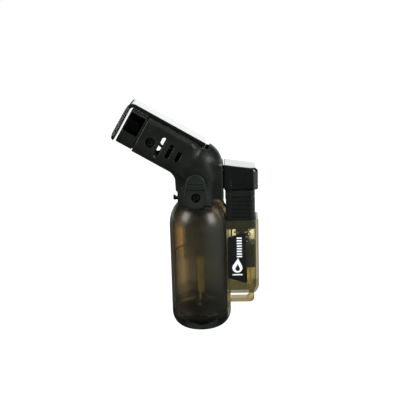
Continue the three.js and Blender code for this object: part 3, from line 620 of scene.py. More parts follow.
def matt_rubber(name, dark, light):
    n = Nodes(name)
    bloom = n.noise(260, 4)
    n.set(Base_Color=n.tint(bloom, dark, light), Roughness=n.remap(bloom, 0.3, 0.7, 0.55, 0.75))
    n.set(Normal=n.bump(n.noise(2600, 3), 0.00002), Sheen_Weight=0.15)
    return n.material


def sintered(name):
    n = Nodes(name)
    pores = n.grains(5200)
    n.set(Base_Color=n.tint(pores, (0.42, 0.39, 0.33), (0.74, 0.71, 0.64)), Roughness=0.85)
    n.set(Normal=n.bump(pores, 0.00008))
    return n.material


def printed_ink(name):
    n = Nodes(name)
    wear = n.noise(900, 4)
    n.set(Base_Color=n.tint(wear, (0.66, 0.67, 0.66), (0.86, 0.87, 0.86)))
    n.set(Roughness=n.remap(wear, 0.3, 0.7, 0.35, 0.5), Normal=n.bump(wear, 0.000008))
    return n.material


def acetal(name):
    """Yellowish tube stock with a waxy skin."""
    n = Nodes(name)
    cloud = n.noise(300, 3)
    n.set(Base_Color=n.tint(cloud, (0.85, 0.74, 0.28), (0.98, 0.88, 0.42)))
    n.set(Roughness=n.remap(cloud, 0.3, 0.7, 0.3, 0.45), Subsurface_Weight=0.3)
    n.set(Subsurface_Scale=0.001, Normal=n.bump(n.noise(1500, 2), 0.000006))
    return n.material


CASING = spark_black("casing_plastic", (0.0042, 0.0058, 0.0042), (0.0068, 0.009, 0.0068), (0.36, 0.46))
SLEEVE = spark_black("sleeve_plastic", (0.004, 0.005, 0.004), (0.007, 0.008, 0.007), (0.3, 0.42), 0.000012)
INNER = spark_black("inner_plastic", (0.006, 0.007, 0.006), (0.01, 0.011, 0.01), (0.4, 0.55))
LOCK = spark_black("lock_plastic", (0.0075, 0.01, 0.008), (0.0115, 0.015, 0.0115), (0.38, 0.5), 0.00002)
GLOSS = polished_black("polished_plastic", (0.003, 0.0035, 0.003), (0.006, 0.006, 0.006), (0.07, 0.16))
LABEL = polished_black("label_panel", (0.003, 0.004, 0.004), (0.006, 0.0075, 0.0075), (0.26, 0.38))
SMOKY = smoky_plastic("smoky_plastic")
FUEL = liquid_fuel("fuel")
BRASS = metal("turned_brass", (0.42, 0.27, 0.08), (0.66, 0.46, 0.18), (0.2, 0.34), (1, 1, 9))
TUBE = metal("drawn_brass", (0.38, 0.22, 0.05), (0.62, 0.4, 0.12), (0.24, 0.4))
STEEL = metal("plated_steel", (0.34, 0.34, 0.33), (0.56, 0.56, 0.54), (0.2, 0.34))
SCREW = metal("blackened_screw", (0.012, 0.013, 0.012), (0.03, 0.03, 0.026), (0.34, 0.46))
GUARD = metal("blackened_tube", (0.004, 0.004, 0.004), (0.01, 0.01, 0.009), (0.35, 0.5), (1, 6, 1))
RUBBER = matt_rubber("rubber", (0.006, 0.006, 0.006), (0.013, 0.013, 0.012))
CERAMIC = sintered("sintered_disc")
INK = printed_ink("printed_ink")
ACETAL = acetal("acetal_tube")
# The terminal's yellow is its own; its near-white brightness and low metallic are painted light, so it reads
# as brightly lit through the column.
CONTACT = metal("bright_contact", (0.9, 0.72, 0.28), (1.0, 0.86, 0.42), (0.5, 0.65), metallic=0.1)
# Plating with a painted highlight streak, for the filling valve.
PLATED = glinting("plating_with_painted_glint")


def dress(obj, body, slot, material, *stands_for):
    """Gives a piece its material, the body it moves with and the CAD nodes that it stands for."""
    obj.data.materials.clear()
    obj.data.materials.append(material)
    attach(obj, body)
    if stands_for:
        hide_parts(*stands_for)
    return obj


def mould(name, field, low, high, cell, *finish):
    """A moulded piece, dressed with its finish: body, slot (not used), material and CAD nodes."""
    return dress(moulded(name, field, low, high, cell), *finish)


# ---- tank ----


def tank_field(x, y, z):
    rho = np.hypot(x, y)
    side = np.abs(y)
    tank = both(dome(rho, z), BASE_TOP + 0.15 - z, 0.35)
    tank = both(tank, z - SHOULDER_START - SHOULDER_RISE, 0.4)
    steps = either(z - 52.2, x - WEB_BACK, 1.2)
    top = both(z - COLUMN_TOP, steps, 0.4)
    plan = both(x - COLUMN_BACK, side - COLUMN_HALF, 3.4)
    outer = both(both(both(x - COLUMN_BACK, COLUMN_BOTTOM - z, 3.6), plan), side - COLUMN_HALF, 0.3)
    outer = every(outer, top, 6.1 - x, r=0.25)
    outer = both(outer, np.minimum(z - 61.0, side - 8.25))
    back, wide = COLUMN_BACK - COLUMN_WALL, COLUMN_HALF - COLUMN_WALL
    hollow = both(both(x - back, COLUMN_BOTTOM + COLUMN_WALL - z, 2.5), both(x - back, side - wide, 2.3), 0.4)
    column = less(outer, hollow, 0.2)
    rail = between(x, WEB_BACK - 1, WEB_BACK)
    guide = every(rail, between(side, 6.1, 7.8), between(z, 18.2, 61.7), r=0.15)
    column = either(column, guide, 0.2)
    loop = less(rectangle(x, z, *LOOP_OUTER, 2.2), rectangle(x, z, *LOOP_INNER, 1.2))
    loop = every(loop, side - LOOP_HALF, z - COLUMN_BOTTOM - 0.5, r=0.45)
    column = either(column, loop, 0.5)
    body = either(tank, column, 0.5)
    boss = both(rho - 5.2, 53.7 - z, 0.4)
    cavity = less(dome(rho, z, -TANK_WALL), boss, 0.5)
    cavity = either(cavity, both(rho - 3.7, z - 70), 0.3)
    cavity = either(cavity, both(rho - (TANK_RADIUS - TANK_WALL), z - 40))
    return less(body, cavity, 0.15)


mould(
    "tank_shell", tank_field, (-13.9, -13.9, 9), (27.2, 13.9, 62), 0.36,
    "root", "smoky_plastic", SMOKY, "tank_body",
)

foot_curve = [
    (FOOT_RADIUS + (TANK_RADIUS - FOOT_RADIUS) * math.sin(a), FOOT_CORNER * (1 - math.cos(a)))
    for a in (i / 14 * math.pi / 2 for i in range(15))
]
foot_outline = [
    (3.3, 0), *foot_curve, (TANK_RADIUS, BASE_TOP - 0.15), (12.1, BASE_TOP - 0.15), (12.1, 12.4),
    (10.9, 12.4), (10.9, 6.4), (7.4, 2.4), (5.2, 2.4), (5.2, 9.6), (3.3, 9.6),
]
dress(turned("tank_foot", foot_outline, 96, 0.15), "root", "smoky_plastic", SMOKY, "tank_base")

fuel_outline = [
    (5.6, 3.6), (7.2, 3.6), (10.5, 7.2), (10.5, 12.9), (12.15, 13.1), (12.15, FUEL_LEVEL + 0.5),
    (11.7, FUEL_LEVEL + 0.1), (10.9, FUEL_LEVEL), (2.1, FUEL_LEVEL), (2.1, 16.0), (4.3, 15.6),
    (4.3, 10.2), (5.6, 10.2),
]
dress(turned("fuel", fuel_outline, 96, 0.2), "root", "smoky_plastic", FUEL)

# ---- filling valve ----

fill_body = [
    (1.7, 1.4), (3, 1.4), (3, 10), (3.9, 10), (3.9, 11.2), (2.6, 11.2), (2.6, 11.8),
    (2.35, 12.0), (2.6, 12.2), (2.35, 12.6), (2.6, 12.9), (2.35, 13.3), (2.6, 13.6), (2.6, 15.2),
    (0.6, 15.2), (0.6, 14), (2.0, 14), (2.0, 4.6), (1.7, 4.6),
]
dress(turned("fill_valve_shell", fill_body, 64, 0.1), "root", "brass", PLATED, "fill_valve_body")
fill_stem = [
    (0, 1.6), (1.0, 1.6), (1.15, 1.8), (1.15, 6.5), (1.75, 6.5), (1.75, 7.4), (0.7, 7.4), (0.7, 8.6),
    (0, 8.6),
]
dress(turned("fill_valve_needle", fill_stem, 48, 0.08), "fill_stem", "steel", STEEL, "fill_valve_stem")
fill_spring = swept("fill_spring", spring_path(1.3, 4, 8.0, 13.5, 0.2), 0.2, 10)
dress(fill_spring, "root", "steel", STEEL, "fill_valve_spring")
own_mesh(fill_spring)
riser = [(0.7, 15.6), (1.5, 15.6), (1.5, 29.6), (2.0, 30.2), (2.0, 32.2), (1.3, 33), (0.7, 33)]
dress(turned("riser_tube", riser, 48, 0.15), "root", "yellow_plastic", ACETAL, "fill_riser")

# ---- gas valve ----


def threads(r_root, r_crest, low, high, pitch):
    """Ridges that stand for a screw thread, from low to high."""
    count = int((high - low) / pitch)
    return [
        point
        for i in range(count)
        for point in ((r_root, low + i * pitch), (r_crest, low + (i + 0.5) * pitch))
    ] + [(r_root, high)]


valve_outline = [
    (2.3, 53), (3.4, 53), *threads(3.15, 3.4, 53.6, 59.6, 0.6), (3.4, 60), (3.4, 65.2), (2.6, 65.8),
    (1.5, 65.8), (1.5, 64.2), (2.3, 64.2),
]
dress(turned("valve_shell", valve_outline, 64, 0.06), "root", "brass", BRASS, "valve_body")
stem_outline = [
    (0, 60.3), (1.9, 60.3), (1.9, 61.3), (1.1, 61.3), (1.1, 68.6), (2.1, 68.6), (2.1, 69.4),
    (0.95, 69.4), (0.95, 72.4), (0, 72.4),
]
dress(turned("gas_stem", stem_outline, 48, 0.1), "valve_stem", "brass", BRASS, "valve_stem")
dress(
    swept("gas_valve_spring", spring_path(1.5, 4, 55.6, 60.1, 0.2), 0.2, 10),
    "root", "steel", STEEL, "valve_spring",
)


def adjuster_field(x, y, z):
    rho = np.hypot(x, y)
    angle = np.arctan2(y, x)
    ring = every(rho - 5.2 + 0.12 * np.cos(36 * angle), 3.7 - rho, between(z, 60.8, 62.7), r=0.15)
    arm = every(between(x, -11.2, -4.4), np.abs(y) - 1.0, between(z, 60.8, 62.3), r=0.2)
    tip = every(between(x, -11.7, -10.6), np.abs(y) - 1.0, between(z, 60.8, 62.9), r=0.25)
    return either(either(ring, arm, 0.3), tip, 0.3)


mould(
    "adjuster_lever", adjuster_field, (-12.6, -5.3, 60.7), (5.3, 5.3, 63), 0.16,
    "flame_adjuster", "gloss_black", GLOSS, "flame_adjuster",
)

# ---- head casing ----

VENTS = [(58.0, 66.2, 10.5), (53.5, 66.8, 7.0), (49.0, 66.5, 4.8)]
screw_at = on_barrel(*FRONT_SCREW)
hinge_at = on_barrel(*CAP_HINGE)


def head_form(x, y, z):
    s, t = barrel_frame(x, z)
    barrel = both(between(t, 57.95, 76.0), 42 - s)
    neck = both(np.abs(x - 0.2) - 10.7, z - 77)
    elbow = oval(s - 39.2, t - BARREL_MID, 11, 10.3)
    profile = either(either(barrel, neck, 2.4), elbow, 1.0)
    along = easing(s, 41, 47)
    rounding = 9.3 - along * (4.3 + 2.5 * easing(t, 63, 70))
    form = both(profile, np.abs(y) - 9.5, rounding)
    slope = ((x - 3.9) * 2.9 + (z - 80.3) * 7.9) / math.hypot(2.9, 7.9)
    guide = both(both(np.abs(y) - 8.4, x - 11.3, 0.7), both(slope, -x), 0.5)
    return either(form, guide, 0.45)


def head_shell(x, y, z):
    s, t = barrel_frame(x, z)
    side = np.abs(y)
    form = head_form(x, y, z)
    shell = less(both(form, s - BARREL_FRONT, 0.6), form + 1.4, 0.2)
    shell = less(shell, dome(np.hypot(x, y), z, CLEARANCE), 0.2)
    shell = both(shell, 58.0 - z)
    shell = less(shell, both(5.8 - x, z - 62.2), 0.2)
    shell = less(shell, both(76 - t, 38.9 - s), 0.15)
    shell = less(shell, every(75.5 - t, between(s, 38.9, 41.2), side - 7.6), 0.1)
    shell = less(shell, every(70 - t, between(s, 38.9, 44), side - 5.4), 0.1)
    shell = less(shell, both(rectangle(y, z, (-4.2, 4.2), (59.4, 65.2), 0.8), x + 8), 0.2)
    shell = less(shell, every(np.abs(side - 5) - 1, between(x, 9, 13), between(z, 60, 76.2)), 0.1)
    for at, across, length in VENTS:
        reach = length / 2 - 0.95
        slot = capsule(s, t, (at, across - reach), (at, across + reach), 0.95)
        shell = less(shell, slot, 0.18)
    return shell


def near_field(x, y, z):
    shell = both(head_shell(x, y, z), y + 0.05, 0.12)
    screw = disc(x, z, screw_at, 0)
    shell = either(shell, both(screw - 2.3, between(y, -8, -0.1)), 0.3)
    shell = either(shell, both(screw - 3.1, between(y, -9.4, -6.6)), 0.3)
    lock = disc(x, z, LOCK_PIVOT, 0)
    pad = less(both(lock - 5.3, between(y, -9.5, -7.6), 0.2), dome(np.hypot(x, y), z, CLEARANCE))
    shell = either(shell, pad, 0.2)
    shell = less(shell, both(screw - 2.12, y + 7.6), 0.14)
    shell = less(shell, screw - 1.3)
    return less(shell, both(lock - 2.7, y + 6), 0.1)


def far_field(x, y, z):
    s, t = barrel_frame(x, z)
    shell = both(head_shell(x, y, z), 0.05 - y, 0.12)
    screw = disc(x, z, screw_at, 0)
    shell = either(shell, both(screw - 2.3, between(y, 0.1, 9.2)), 0.3)
    baffle = both(rectangle(s, t, (46.2, 55.6), (59, 75), 0.4), between(y, 3.6, 4.6), 0.2)
    shell = either(shell, baffle, 0.3)
    return less(shell, both(screw - 1.3, y - 7.5), 0.1)


for name, field, low, high, node in (
    ("casing_near", near_field, -9.6, 0, "casing_left"),
    ("casing_far", far_field, 0, 9.6, "casing_right"),
):
    corners = (-29.6, low, 58), (11.9, high, 101)
    mould(name, field, *corners, 0.27, "root", "casing_plastic", CASING, node)

# ---- screws ----


def screw_field(at, face, tip):
    """A pan head with a cross recess, facing -Y, and its shank."""

    def field(x, y, z):
        u, v = x - at[0], z - at[1]
        rho = np.hypot(u, v)
        depth = y - face
        head = every(rho - 1.85, -(depth - 0.05 * rho**2), depth - 1.3, r=0.22)
        shank = both(rho - 0.95, between(y, face + 1, tip), 0.1)
        a, b = (u + v) / math.sqrt(2), (u - v) / math.sqrt(2)
        blades = either(*(
            both(np.abs(p) - 1.35 + 0.5 * depth, np.abs(q) - 0.25, 0.05) for p, q in ((a, b), (b, a))
        ), 0.1)
        return less(either(head, shank, 0.15), both(blades, depth - 0.75), 0.08)

    return field


def screw(name, at, face, tip, body, node):
    low = (at[0] - 2.1, face, at[1] - 2.1)
    high = (at[0] + 2.1, tip, at[1] + 2.1)
    mould(name, screw_field(at, face, tip), low, high, 0.11, body, "steel", SCREW, node)


screw("casing_screw", screw_at, -8.95, 7, "root", "front_screw")
screw("pivot_screw", LOCK_PIVOT, -10.5, -5.7, "flame_lock", "lock_pivot_screw")

# ---- flame lock ----

LOCK_FACE, LOCK_BACK = -11.1, -9.8
LOCK_SWING = np.radians([0, 5, 10, 15, 20, 25])  # turns at which it has to clear the shoulder
LOCK_TOP_AT = (LOCK_PIVOT[0], 70.2)
LOCK_GROOVES = [  # height, half length, half thickness, depth
    (67.4, 4.4, 0.2, 0.65),
    (70.0, 3.5, 0.17, 0.55),
    (68.7, 3.9, 0.08, 0.22),
    (71.4, 3.0, 0.08, 0.22),
    (72.4, 2.4, 0.08, 0.22),
    (73.2, 1.6, 0.08, 0.22),
]


def tapered(u, v, low, r_low, high, r_high):
    """The outline round a disc below and a smaller one above it."""
    length = high[1] - low[1]
    lean = (r_low - r_high) / length
    upright = math.sqrt(1 - lean * lean)
    side, up = np.abs(u - low[0]), v - low[1]
    climb = up * upright - side * lean
    straight = side * upright + up * lean - r_low
    above = np.where(climb > length * upright, np.hypot(side, up - length) - r_high, straight)
    return np.where(climb < 0, np.hypot(side, up) - r_low, above)


def lock_swung(x, z, turn):
    """Where a point of the flame lock is once the lock has turned."""
    across, up = x - LOCK_PIVOT[0], z - LOCK_PIVOT[1]
    return (
        LOCK_PIVOT[0] + across * np.cos(turn) + up * np.sin(turn),
        LOCK_PIVOT[1] - across * np.sin(turn) + up * np.cos(turn),
    )


def lock_field(x, y, z):
    outline = tapered(x, z, LOCK_PIVOT, 5.4, LOCK_TOP_AT, 4.3)
    plate = both(outline, between(y, LOCK_FACE, LOCK_BACK), 0.5)
    centre = disc(x, z, LOCK_PIVOT, 0)
    stub = both(centre - 2.3, between(y, LOCK_BACK - 0.3, -7), 0.1)
    lever = either(plate, stub, 0.2)
    rim = both(np.abs(outline + 0.7) - 0.1, y - LOCK_FACE - 0.18)
    lever = less(lever, rim, 0.06)
    for height, half, thickness, depth in LOCK_GROOVES:
        groove = both(np.abs(z - height) - thickness, np.abs(x - LOCK_PIVOT[0]) - half, 0.08)
        lever = less(lever, both(groove, y - LOCK_FACE - depth), 0.1)
    lever = less(lever, both(centre - 2.1, y + 9.1), 0.15)
    lever = less(lever, centre - 1.25)
    for turn in LOCK_SWING:
        swung_x, swung_z = lock_swung(x, z, turn)
        lever = less(lever, dome(np.hypot(swung_x, y), swung_z, CLEARANCE), 0.1)
    return lever


mould(
    "flame_lock_paddle", lock_field, (-6.5, -11.2, 58), (4.7, -6.9, 75.2), 0.15,
    "flame_lock", "casing_plastic", LOCK, "flame_lock_lever",
)

# ---- nozzle ----


def shroud_field(x, y, z):
    s, t = barrel_frame(x, z)
    outer = every(band(y, t, 8.9, 58.5, 75.4, 4.6, 2), between(s, BARREL_FRONT + 0.3, MOUTH), r=0.35)
    spigot = both(band(y, t, 7.8, 59.4, 74.2, 3.4, 1.4), between(s, 66.2, 70))
    seam = both(band(y, t, 8.5, 59.2, 75.0, 4.2, 1.6), between(s, BARREL_FRONT + 0.05, 70))
    spigot = either(spigot, seam)
    hollow = band(y, t, 7.4, 60.3, 73.9, 3.1, 0.8)
    shroud = less(either(outer, spigot, 0.1), hollow, 0.25)
    window = both(rectangle(s, t, (69.3, 76.1), (65.3, 74.2), 0.5), 6.0 - np.abs(y))
    shroud = less(shroud, window, 0.15)
    step = both(rectangle(s, t, (69.0, 76.45), (64.9, 74.5), 0.7), 8.55 - np.abs(y))
    return less(shroud, step, 0.1)


mould(
    "nozzle_jaws", shroud_field, (-36.9, -9, 85), (-19.2, 9, 104.2), 0.22,
    "root", "casing_plastic", CASING, "nozzle_shroud",
)


def barrel_axis():
    """Turns the Z axis on to the barrel's own axis."""
    x, z = on_barrel(0, BARREL_MID)
    return Matrix.Translation((x, 0, z)) @ Matrix.Rotation(BARREL_TILT - math.pi / 2, 4, "Y")


def on_axis(name, outline, segments, soften, slot, material, *nodes):
    obj = turned(name, outline, segments, soften, barrel_axis())
    return dress(obj, "root", slot, material, *nodes)


guard_outline = [
    (6.1, 66.4), (6.7, 66.4), (6.7, 76.3), (6.1, 76.3), (6.1, 75.8), (6.3, 75.5), (6.3, 66.9), (6.1, 66.7),
]
on_axis("guard_tube", guard_outline, 96, 0.12, "black_steel", GUARD, "nozzle_guard")
cup_outline = [(4.1, 68.2), (5.7, 68.2), (5.7, 70.2), (5.5, 70.4), (4.7, 75.1), (4.7, 75.4), (4.1, 75.4)]
on_axis("burner_cup", cup_outline, 72, 0.1, "steel", STEEL, "burner_ring")


def jet_field(x, y, z):
    """The jet block: a brass plug with a ring of flame holes round a central jet."""
    s, t = barrel_frame(x, z)
    u, v = y, t - BARREL_MID
    rho = np.hypot(u, v)
    plug = every(rho - 3.1, between(s, 67, 72.6), r=0.2)
    plug = less(plug, both(rho - 1.2, 71.4 - s), 0.12)
    for i in range(8):
        angle = i * math.pi / 4
        hole = np.hypot(u - 2.15 * math.cos(angle), v - 2.15 * math.sin(angle)) - 0.36
        plug = less(plug, both(hole, 70.5 - s), 0.06)
    return plug


core_low, core_high = (
    [(corner.x - AXIS_X) / MM, corner.y / MM, corner.z / MM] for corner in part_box("burner_core")
)
mould("jet_block", jet_field, core_low, core_high, 0.13, "root", "brass", BRASS, "burner_core")

# ---- gas and ignition lines ----


def barrel_points(points):
    return [(on_barrel(s, t)[0], y, on_barrel(s, t)[1]) for s, t, y in points]


jet_route = barrel_points([
    (47.5, 69.4, 0), (50.5, 68, 0), (54, 66.6, 0), (57.6, 65.5, 0), (59, 66.2, 0), (60.1, 68.4, 0),
    (61.4, 69.6, 0), (64.6, 69.4, 0), (66.5, 67, 0),
])
dress(swept("jet_pipe", smooth_route(jet_route), 0.65, 20), "root", "brass", TUBE, "jet_tube")
hose_route = [(0, 0, 70.6), (0, 0, 73.2), (-1.2, 0, 76.6), *barrel_points([(43.5, 68.6, 0), (47, 69.4, 0)])]
dress(swept("gas_line", smooth_route(hose_route), 1.9, 28, 1.25), "root", "rubber", RUBBER, "gas_hose")
lead_route = [
    (14.5, 0, 36), (14.5, 0, 49.5), (13.9, 0, 53.6), (11.5, 0, 58.4), (9.1, -0.4, 61.9), (8.6, -0.8, 66),
    (8.4, -1, 72), (4.5, -2.8, 78),
    *barrel_points([(46, 65.4, -3.6), (54, 64.4, -3), (59, 62.4, -1.6), (63.5, 62.2, -0.6), (66.1, 63.2, 0)]),
]
dress(swept("spark_lead", smooth_route(lead_route), 0.42, 14), "root", "rubber", RUBBER, "ignition_lead")
rod_ends = barrel_points([(66.6, 63.4, 0), (73.6, 63.4, 0), (74.6, 63.7, 0)])
dress(swept("spark_rod", smooth_route(rod_ends), 0.25, 12), "root", "steel", STEEL, "electrode")

# ---- cap ----

CAP_HALF = 7.2
CAP_HEEL = 40.4
CAP_THICKNESS = 2.1
TAIL_Y, TAIL_HALF = 3.3, 0.8
FOLLOWER = (7.4, 74.7)
CAP_OUTLINE = [
    (CAP_HEEL, 58.6), (78.9, 58.6), (79.8, 60.4), (79.85, 68), (79.7, 74.6), (79.1, 76.5), (77.6, 77.7),
    (CAP_HEEL, 77.7),
]
HINGE_LUG = [(CAP_HEEL, 74.7), (41, 73.5), (42.6, 74.3), (42.8, 76.6), (CAP_HEEL, 76.6)]
TAIL_OUTLINE = [
    (FOLLOWER[0] - 1.3, FOLLOWER[1] - 0.3), (FOLLOWER[0] + 0.6, FOLLOWER[1] - 1.2),
    (FOLLOWER[0] + 1.2, FOLLOWER[1] + 0.9), on_barrel(CAP_HEEL, 74.7), on_barrel(42.8, 74.2),
]


def cap_field(x, y, z):
    s, t = barrel_frame(x, z)
    side = np.abs(y)
    outer = both(both(convex(s, t, CAP_OUTLINE, 0.9), CAP_HEEL - s), side - CAP_HALF, 0.5)
    inner = both(s - 79.8 + CAP_THICKNESS, t - 76.15, 1.8)
    cap = less(outer, inner, 0.15)
    lugs = np.abs(side - TAIL_Y) - TAIL_HALF
    cap = either(cap, both(convex(s, t, HINGE_LUG), lugs, 0.15), 0.3)
    tail = both(convex(x, z, TAIL_OUTLINE), np.abs(y - TAIL_Y) - TAIL_HALF, 0.15)
    cap = either(cap, tail, 0.2)
    cap = either(cap, both(disc(x, z, FOLLOWER, 0.9), between(y, TAIL_Y, 5.6), 0.1), 0.1)
    for at in (78.55, 78.95, 79.35):
        line = both(np.abs(s - at) - 0.06, between(t, 60.2, 75.2))
        cap = less(cap, both(line, CAP_HALF - 0.14 - side), 0.05)
    return less(cap, disc(x, z, hinge_at, 0.9), 0.08)


mould(
    "nozzle_cap", cap_field, (-38.4, -7.3, 73), (8.8, 7.3, 106.5), 0.24,
    "nozzle_cap", "gloss_black", GLOSS, "cap_lever",
)
cap_coil = spring_path(0.95, 5, -1.8, 1.8, 0.13)
cap_coil = np.stack([cap_coil[:, 0] + hinge_at[0], cap_coil[:, 2], cap_coil[:, 1] + hinge_at[1]], axis=1)
dress(swept("cap_coil", cap_coil, 0.13, 8), "root", "steel", STEEL, "cap_spring")

# ---- trigger ----


def trigger_cap_field(x, y, z):
    side = np.abs(y)
    crown = 77.9 - (x - 12.3) * 0.135 + 0.0022 * (x - 12.3) * (x - 25)
    plan = both(both(x - TRIGGER_BACK, side - TRIGGER_HALF, 2.4), TRIGGER_FRONT - x, 0.4)
    outer = both(plan, z - crown, 0.5 + 1.4 * easing(x, 23, 26.5))
    skirt = 66.2 + 0.9 * easing(x, 12, 24) * (1 - easing(x, 24.6, 25.4))
    cap = both(outer, skirt - z, 0.45)
    hollow = every(x - 25.7, z - crown + 1.6, side - 5.9)
    cap = less(cap, hollow, 0.15)
    arch = 68.5 + 0.35 * easing(x, 17.5, 20) * (1 - easing(x, 20, 22.5))
    back_line = every(np.abs(z - arch) - 0.2, 15.1 - x, -0.5 - plan)
    cap = less(cap, back_line, 0.12)
    upright = every(np.abs(x - 15.1) - 0.12, between(z, 68.5, 71), -0.2 - plan)
    return less(cap, upright, 0.08)


mould(
    "trigger_button", trigger_cap_field, (11.7, -7.2, 66), (27.3, 7.2, 78.1), 0.2,
    "trigger", "gloss_black", GLOSS, "trigger_cap",
)

SLEEVE_GROOVES = [  # height, depth
    (62.9, 0.6), (61.0, 0.3), (59.1, 0.4), (57.2, 0.3), (55.3, 0.35), (53.6, 0.3),
]


def sleeve_field(x, y, z):
    side = np.abs(y)
    skin = both(both(x - SLEEVE_BACK, side - TRIGGER_HALF, 1.9), SLEEVE_FRONT - x, 0.5)
    outer = both(skin, between(z, 47.9, 65.9), 0.25)
    plug = every(between(x, 15.5, 24.9), side - 5.5, between(z, 63, 73.2), r=0.2)
    sleeve = either(outer, plug, 0.1)
    hollow = both(rectangle(x, y, (14.1, 24.4), (-5.9, 5.9), 0.4), z - 62)
    sleeve = less(sleeve, hollow, 0.15)
    sleeve = less(sleeve, every(side - 5.9, x - 15, z - 63.4), 0.15)
    sleeve = less(sleeve, both(np.hypot(x, y) - TANK_RADIUS - 0.35, z - 62), 0.15)
    for height, depth in SLEEVE_GROOVES:
        groove = every(np.abs(z - height) - 0.5 * depth, 15.1 - x, -depth - skin)
        sleeve = less(sleeve, groove, 0.16)
    for x_at in (13.1, 14.9):
        edge = every(np.abs(x - x_at) - 0.1, between(z, 49.2, 65.2), -0.16 - skin)
        sleeve = less(sleeve, edge, 0.08)
    return sleeve


mould(
    "trigger_body", sleeve_field, (12.1, -7.2, 47.8), (25.8, 7.2, 73.4), 0.2,
    "trigger", "ribbed_black", SLEEVE, "trigger_sleeve",
)

# ---- piezo igniter ----


def piezo_field(x, y, z):
    skin = rectangle(x, y, (15.2, 25.6), (-4.6, 4.6), 0.9)
    case = both(skin, between(z, 28.7, 39.8), 0.3)
    case = less(case, both(disc(x, y, (IGNITER_AXIS, 0), 3.2), 31.6 - z), 0.2)
    for height in (30.2, 38.2):
        case = less(case, both(np.abs(z - height) - 0.3, -0.3 - skin), 0.12)
    return case


mould(
    "piezo_case", piezo_field, (15.1, -4.7, 28.6), (25.7, 4.7, 39.9), 0.24,
    "root", "ribbed_black", INNER, "piezo_body",
)


def terminal_field(x, y, z):
    strip = every(between(x, 21.2, 24), np.abs(y) - 2.2, between(z, 19.7, 28.4), r=0.25)
    fold = both(np.abs(x - 22.6) - 0.9, between(z, 20.6, 27.6), 0.3)
    return less(strip, both(fold, 1.7 - np.abs(y)), 0.15)


mould(
    "spark_contact", terminal_field, (21.1, -2.3, 19.6), (24.1, 2.3, 28.5), 0.16,
    "root", "brass", CONTACT, "piezo_terminal",
)
plunger = [
    (0, 37.2), (2.7, 37.2), (2.9, 37.5), (2.9, 59.2), (2.5, 59.5), (2.5, 60.1), (2.9, 60.4), (2.9, 61.5),
    (0, 61.7),
]
dress(
    turned("plunger_rod", plunger, 48, 0.1, Matrix.Translation((IGNITER_AXIS, 0, 0))),
    "trigger", "casing_plastic", INNER, "piezo_plunger",
)
coil = spring_path(3.75, 8, 40.1, 61.5, 0.3) + np.array([IGNITER_AXIS, 0, 0])
return_spring = dress(swept("return_spring", coil, 0.3, 12), "root", "steel", STEEL, "trigger_spring")
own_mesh(return_spring)

# ---- label ----

LABEL_OUTLINE = [(12.7, 25.3), (21.65, 22.6), (21.3, 47.2), (12.9, 44.7)]
LABEL_FACE = -9.15


def label_field(x, y, z):
    return both(convex(x, z, LABEL_OUTLINE, 0.8), between(y, LABEL_FACE, -8.75), 0.12)


mould(
    "label_panel", label_field, (12.6, -9.2, 22.5), (21.8, -8.7, 47.3), 0.14,
    "root", "label", LABEL, "label_plate",
)

FLAME_AT = (17.2, 30.2)
BARS_FROM, BARS_TO, BAR_PITCH = 35.6, 44.4, 1.25


def print_field(x, y, z):
    """A flame over a bowl and a column of plain bars."""
    u, v = x - FLAME_AT[0], z - FLAME_AT[1]
    flame = either(disc(u, v, (0, 0), 2.3), convex(u, v, [(-1.95, 1.2), (1.95, 1.2), (0.35, 4.6)], 0.15), 0.2)
    core = either(disc(u, v, (0.1, -0.5), 1.05), convex(u, v, [(-0.85, 0), (0.95, 0), (0.2, 1.9)], 0.1), 0.2)
    ink = less(flame, core, 0.1)
    ink = either(ink, both(np.abs(v + 3.3) - 0.28, np.abs(u) - 2.3, 0.2))
    row = (z - BARS_FROM) / BAR_PITCH
    beat = np.abs(row - np.round(row)) * BAR_PITCH
    bars = every(beat - 0.34, between(z, BARS_FROM - 0.4, BARS_TO + 0.4), np.abs(x - 18.2) - 1.2, r=0.15)
    return both(either(ink, bars), between(y, LABEL_FACE - 0.04, LABEL_FACE + 0.1))


mould("label_print", print_field, (14, -9.3, 26), (20.6, -9.0, 45.2), 0.09, "root", "label", INK)

# ---- CAD nodes that stay, with their own finishes ----

KEPT = {
    "flame_lock_cam": INNER, "gas_lever": INNER, "trigger_fork": INNER, "fill_valve_seal": RUBBER,
    "valve_seal": RUBBER, "valve_filter": CERAMIC, "cap_hinge_pin": STEEL, "gas_lever_pin": STEEL,
}
for node, material in KEPT.items():
    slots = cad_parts[node].data.materials
    slots.clear()
    slots.append(material)

# ---- studio ----

WHITE = (1, 1, 1, 1)
COOL_WHITE = (0.87, 0.96, 1.0, 1)
FLOOR = 6.0  # metres from its middle to each edge
ROOM_LIGHT, WALL_LIGHT = 0.05, 2.0
BRIGHT_WAY = Vector((0.19, 0.97, 0.14)).normalized()  # towards the lit wall behind the torch
WALL_EDGE = (0.93, 0.985)  # cosines of the angle from the wall's middle, where its light fades


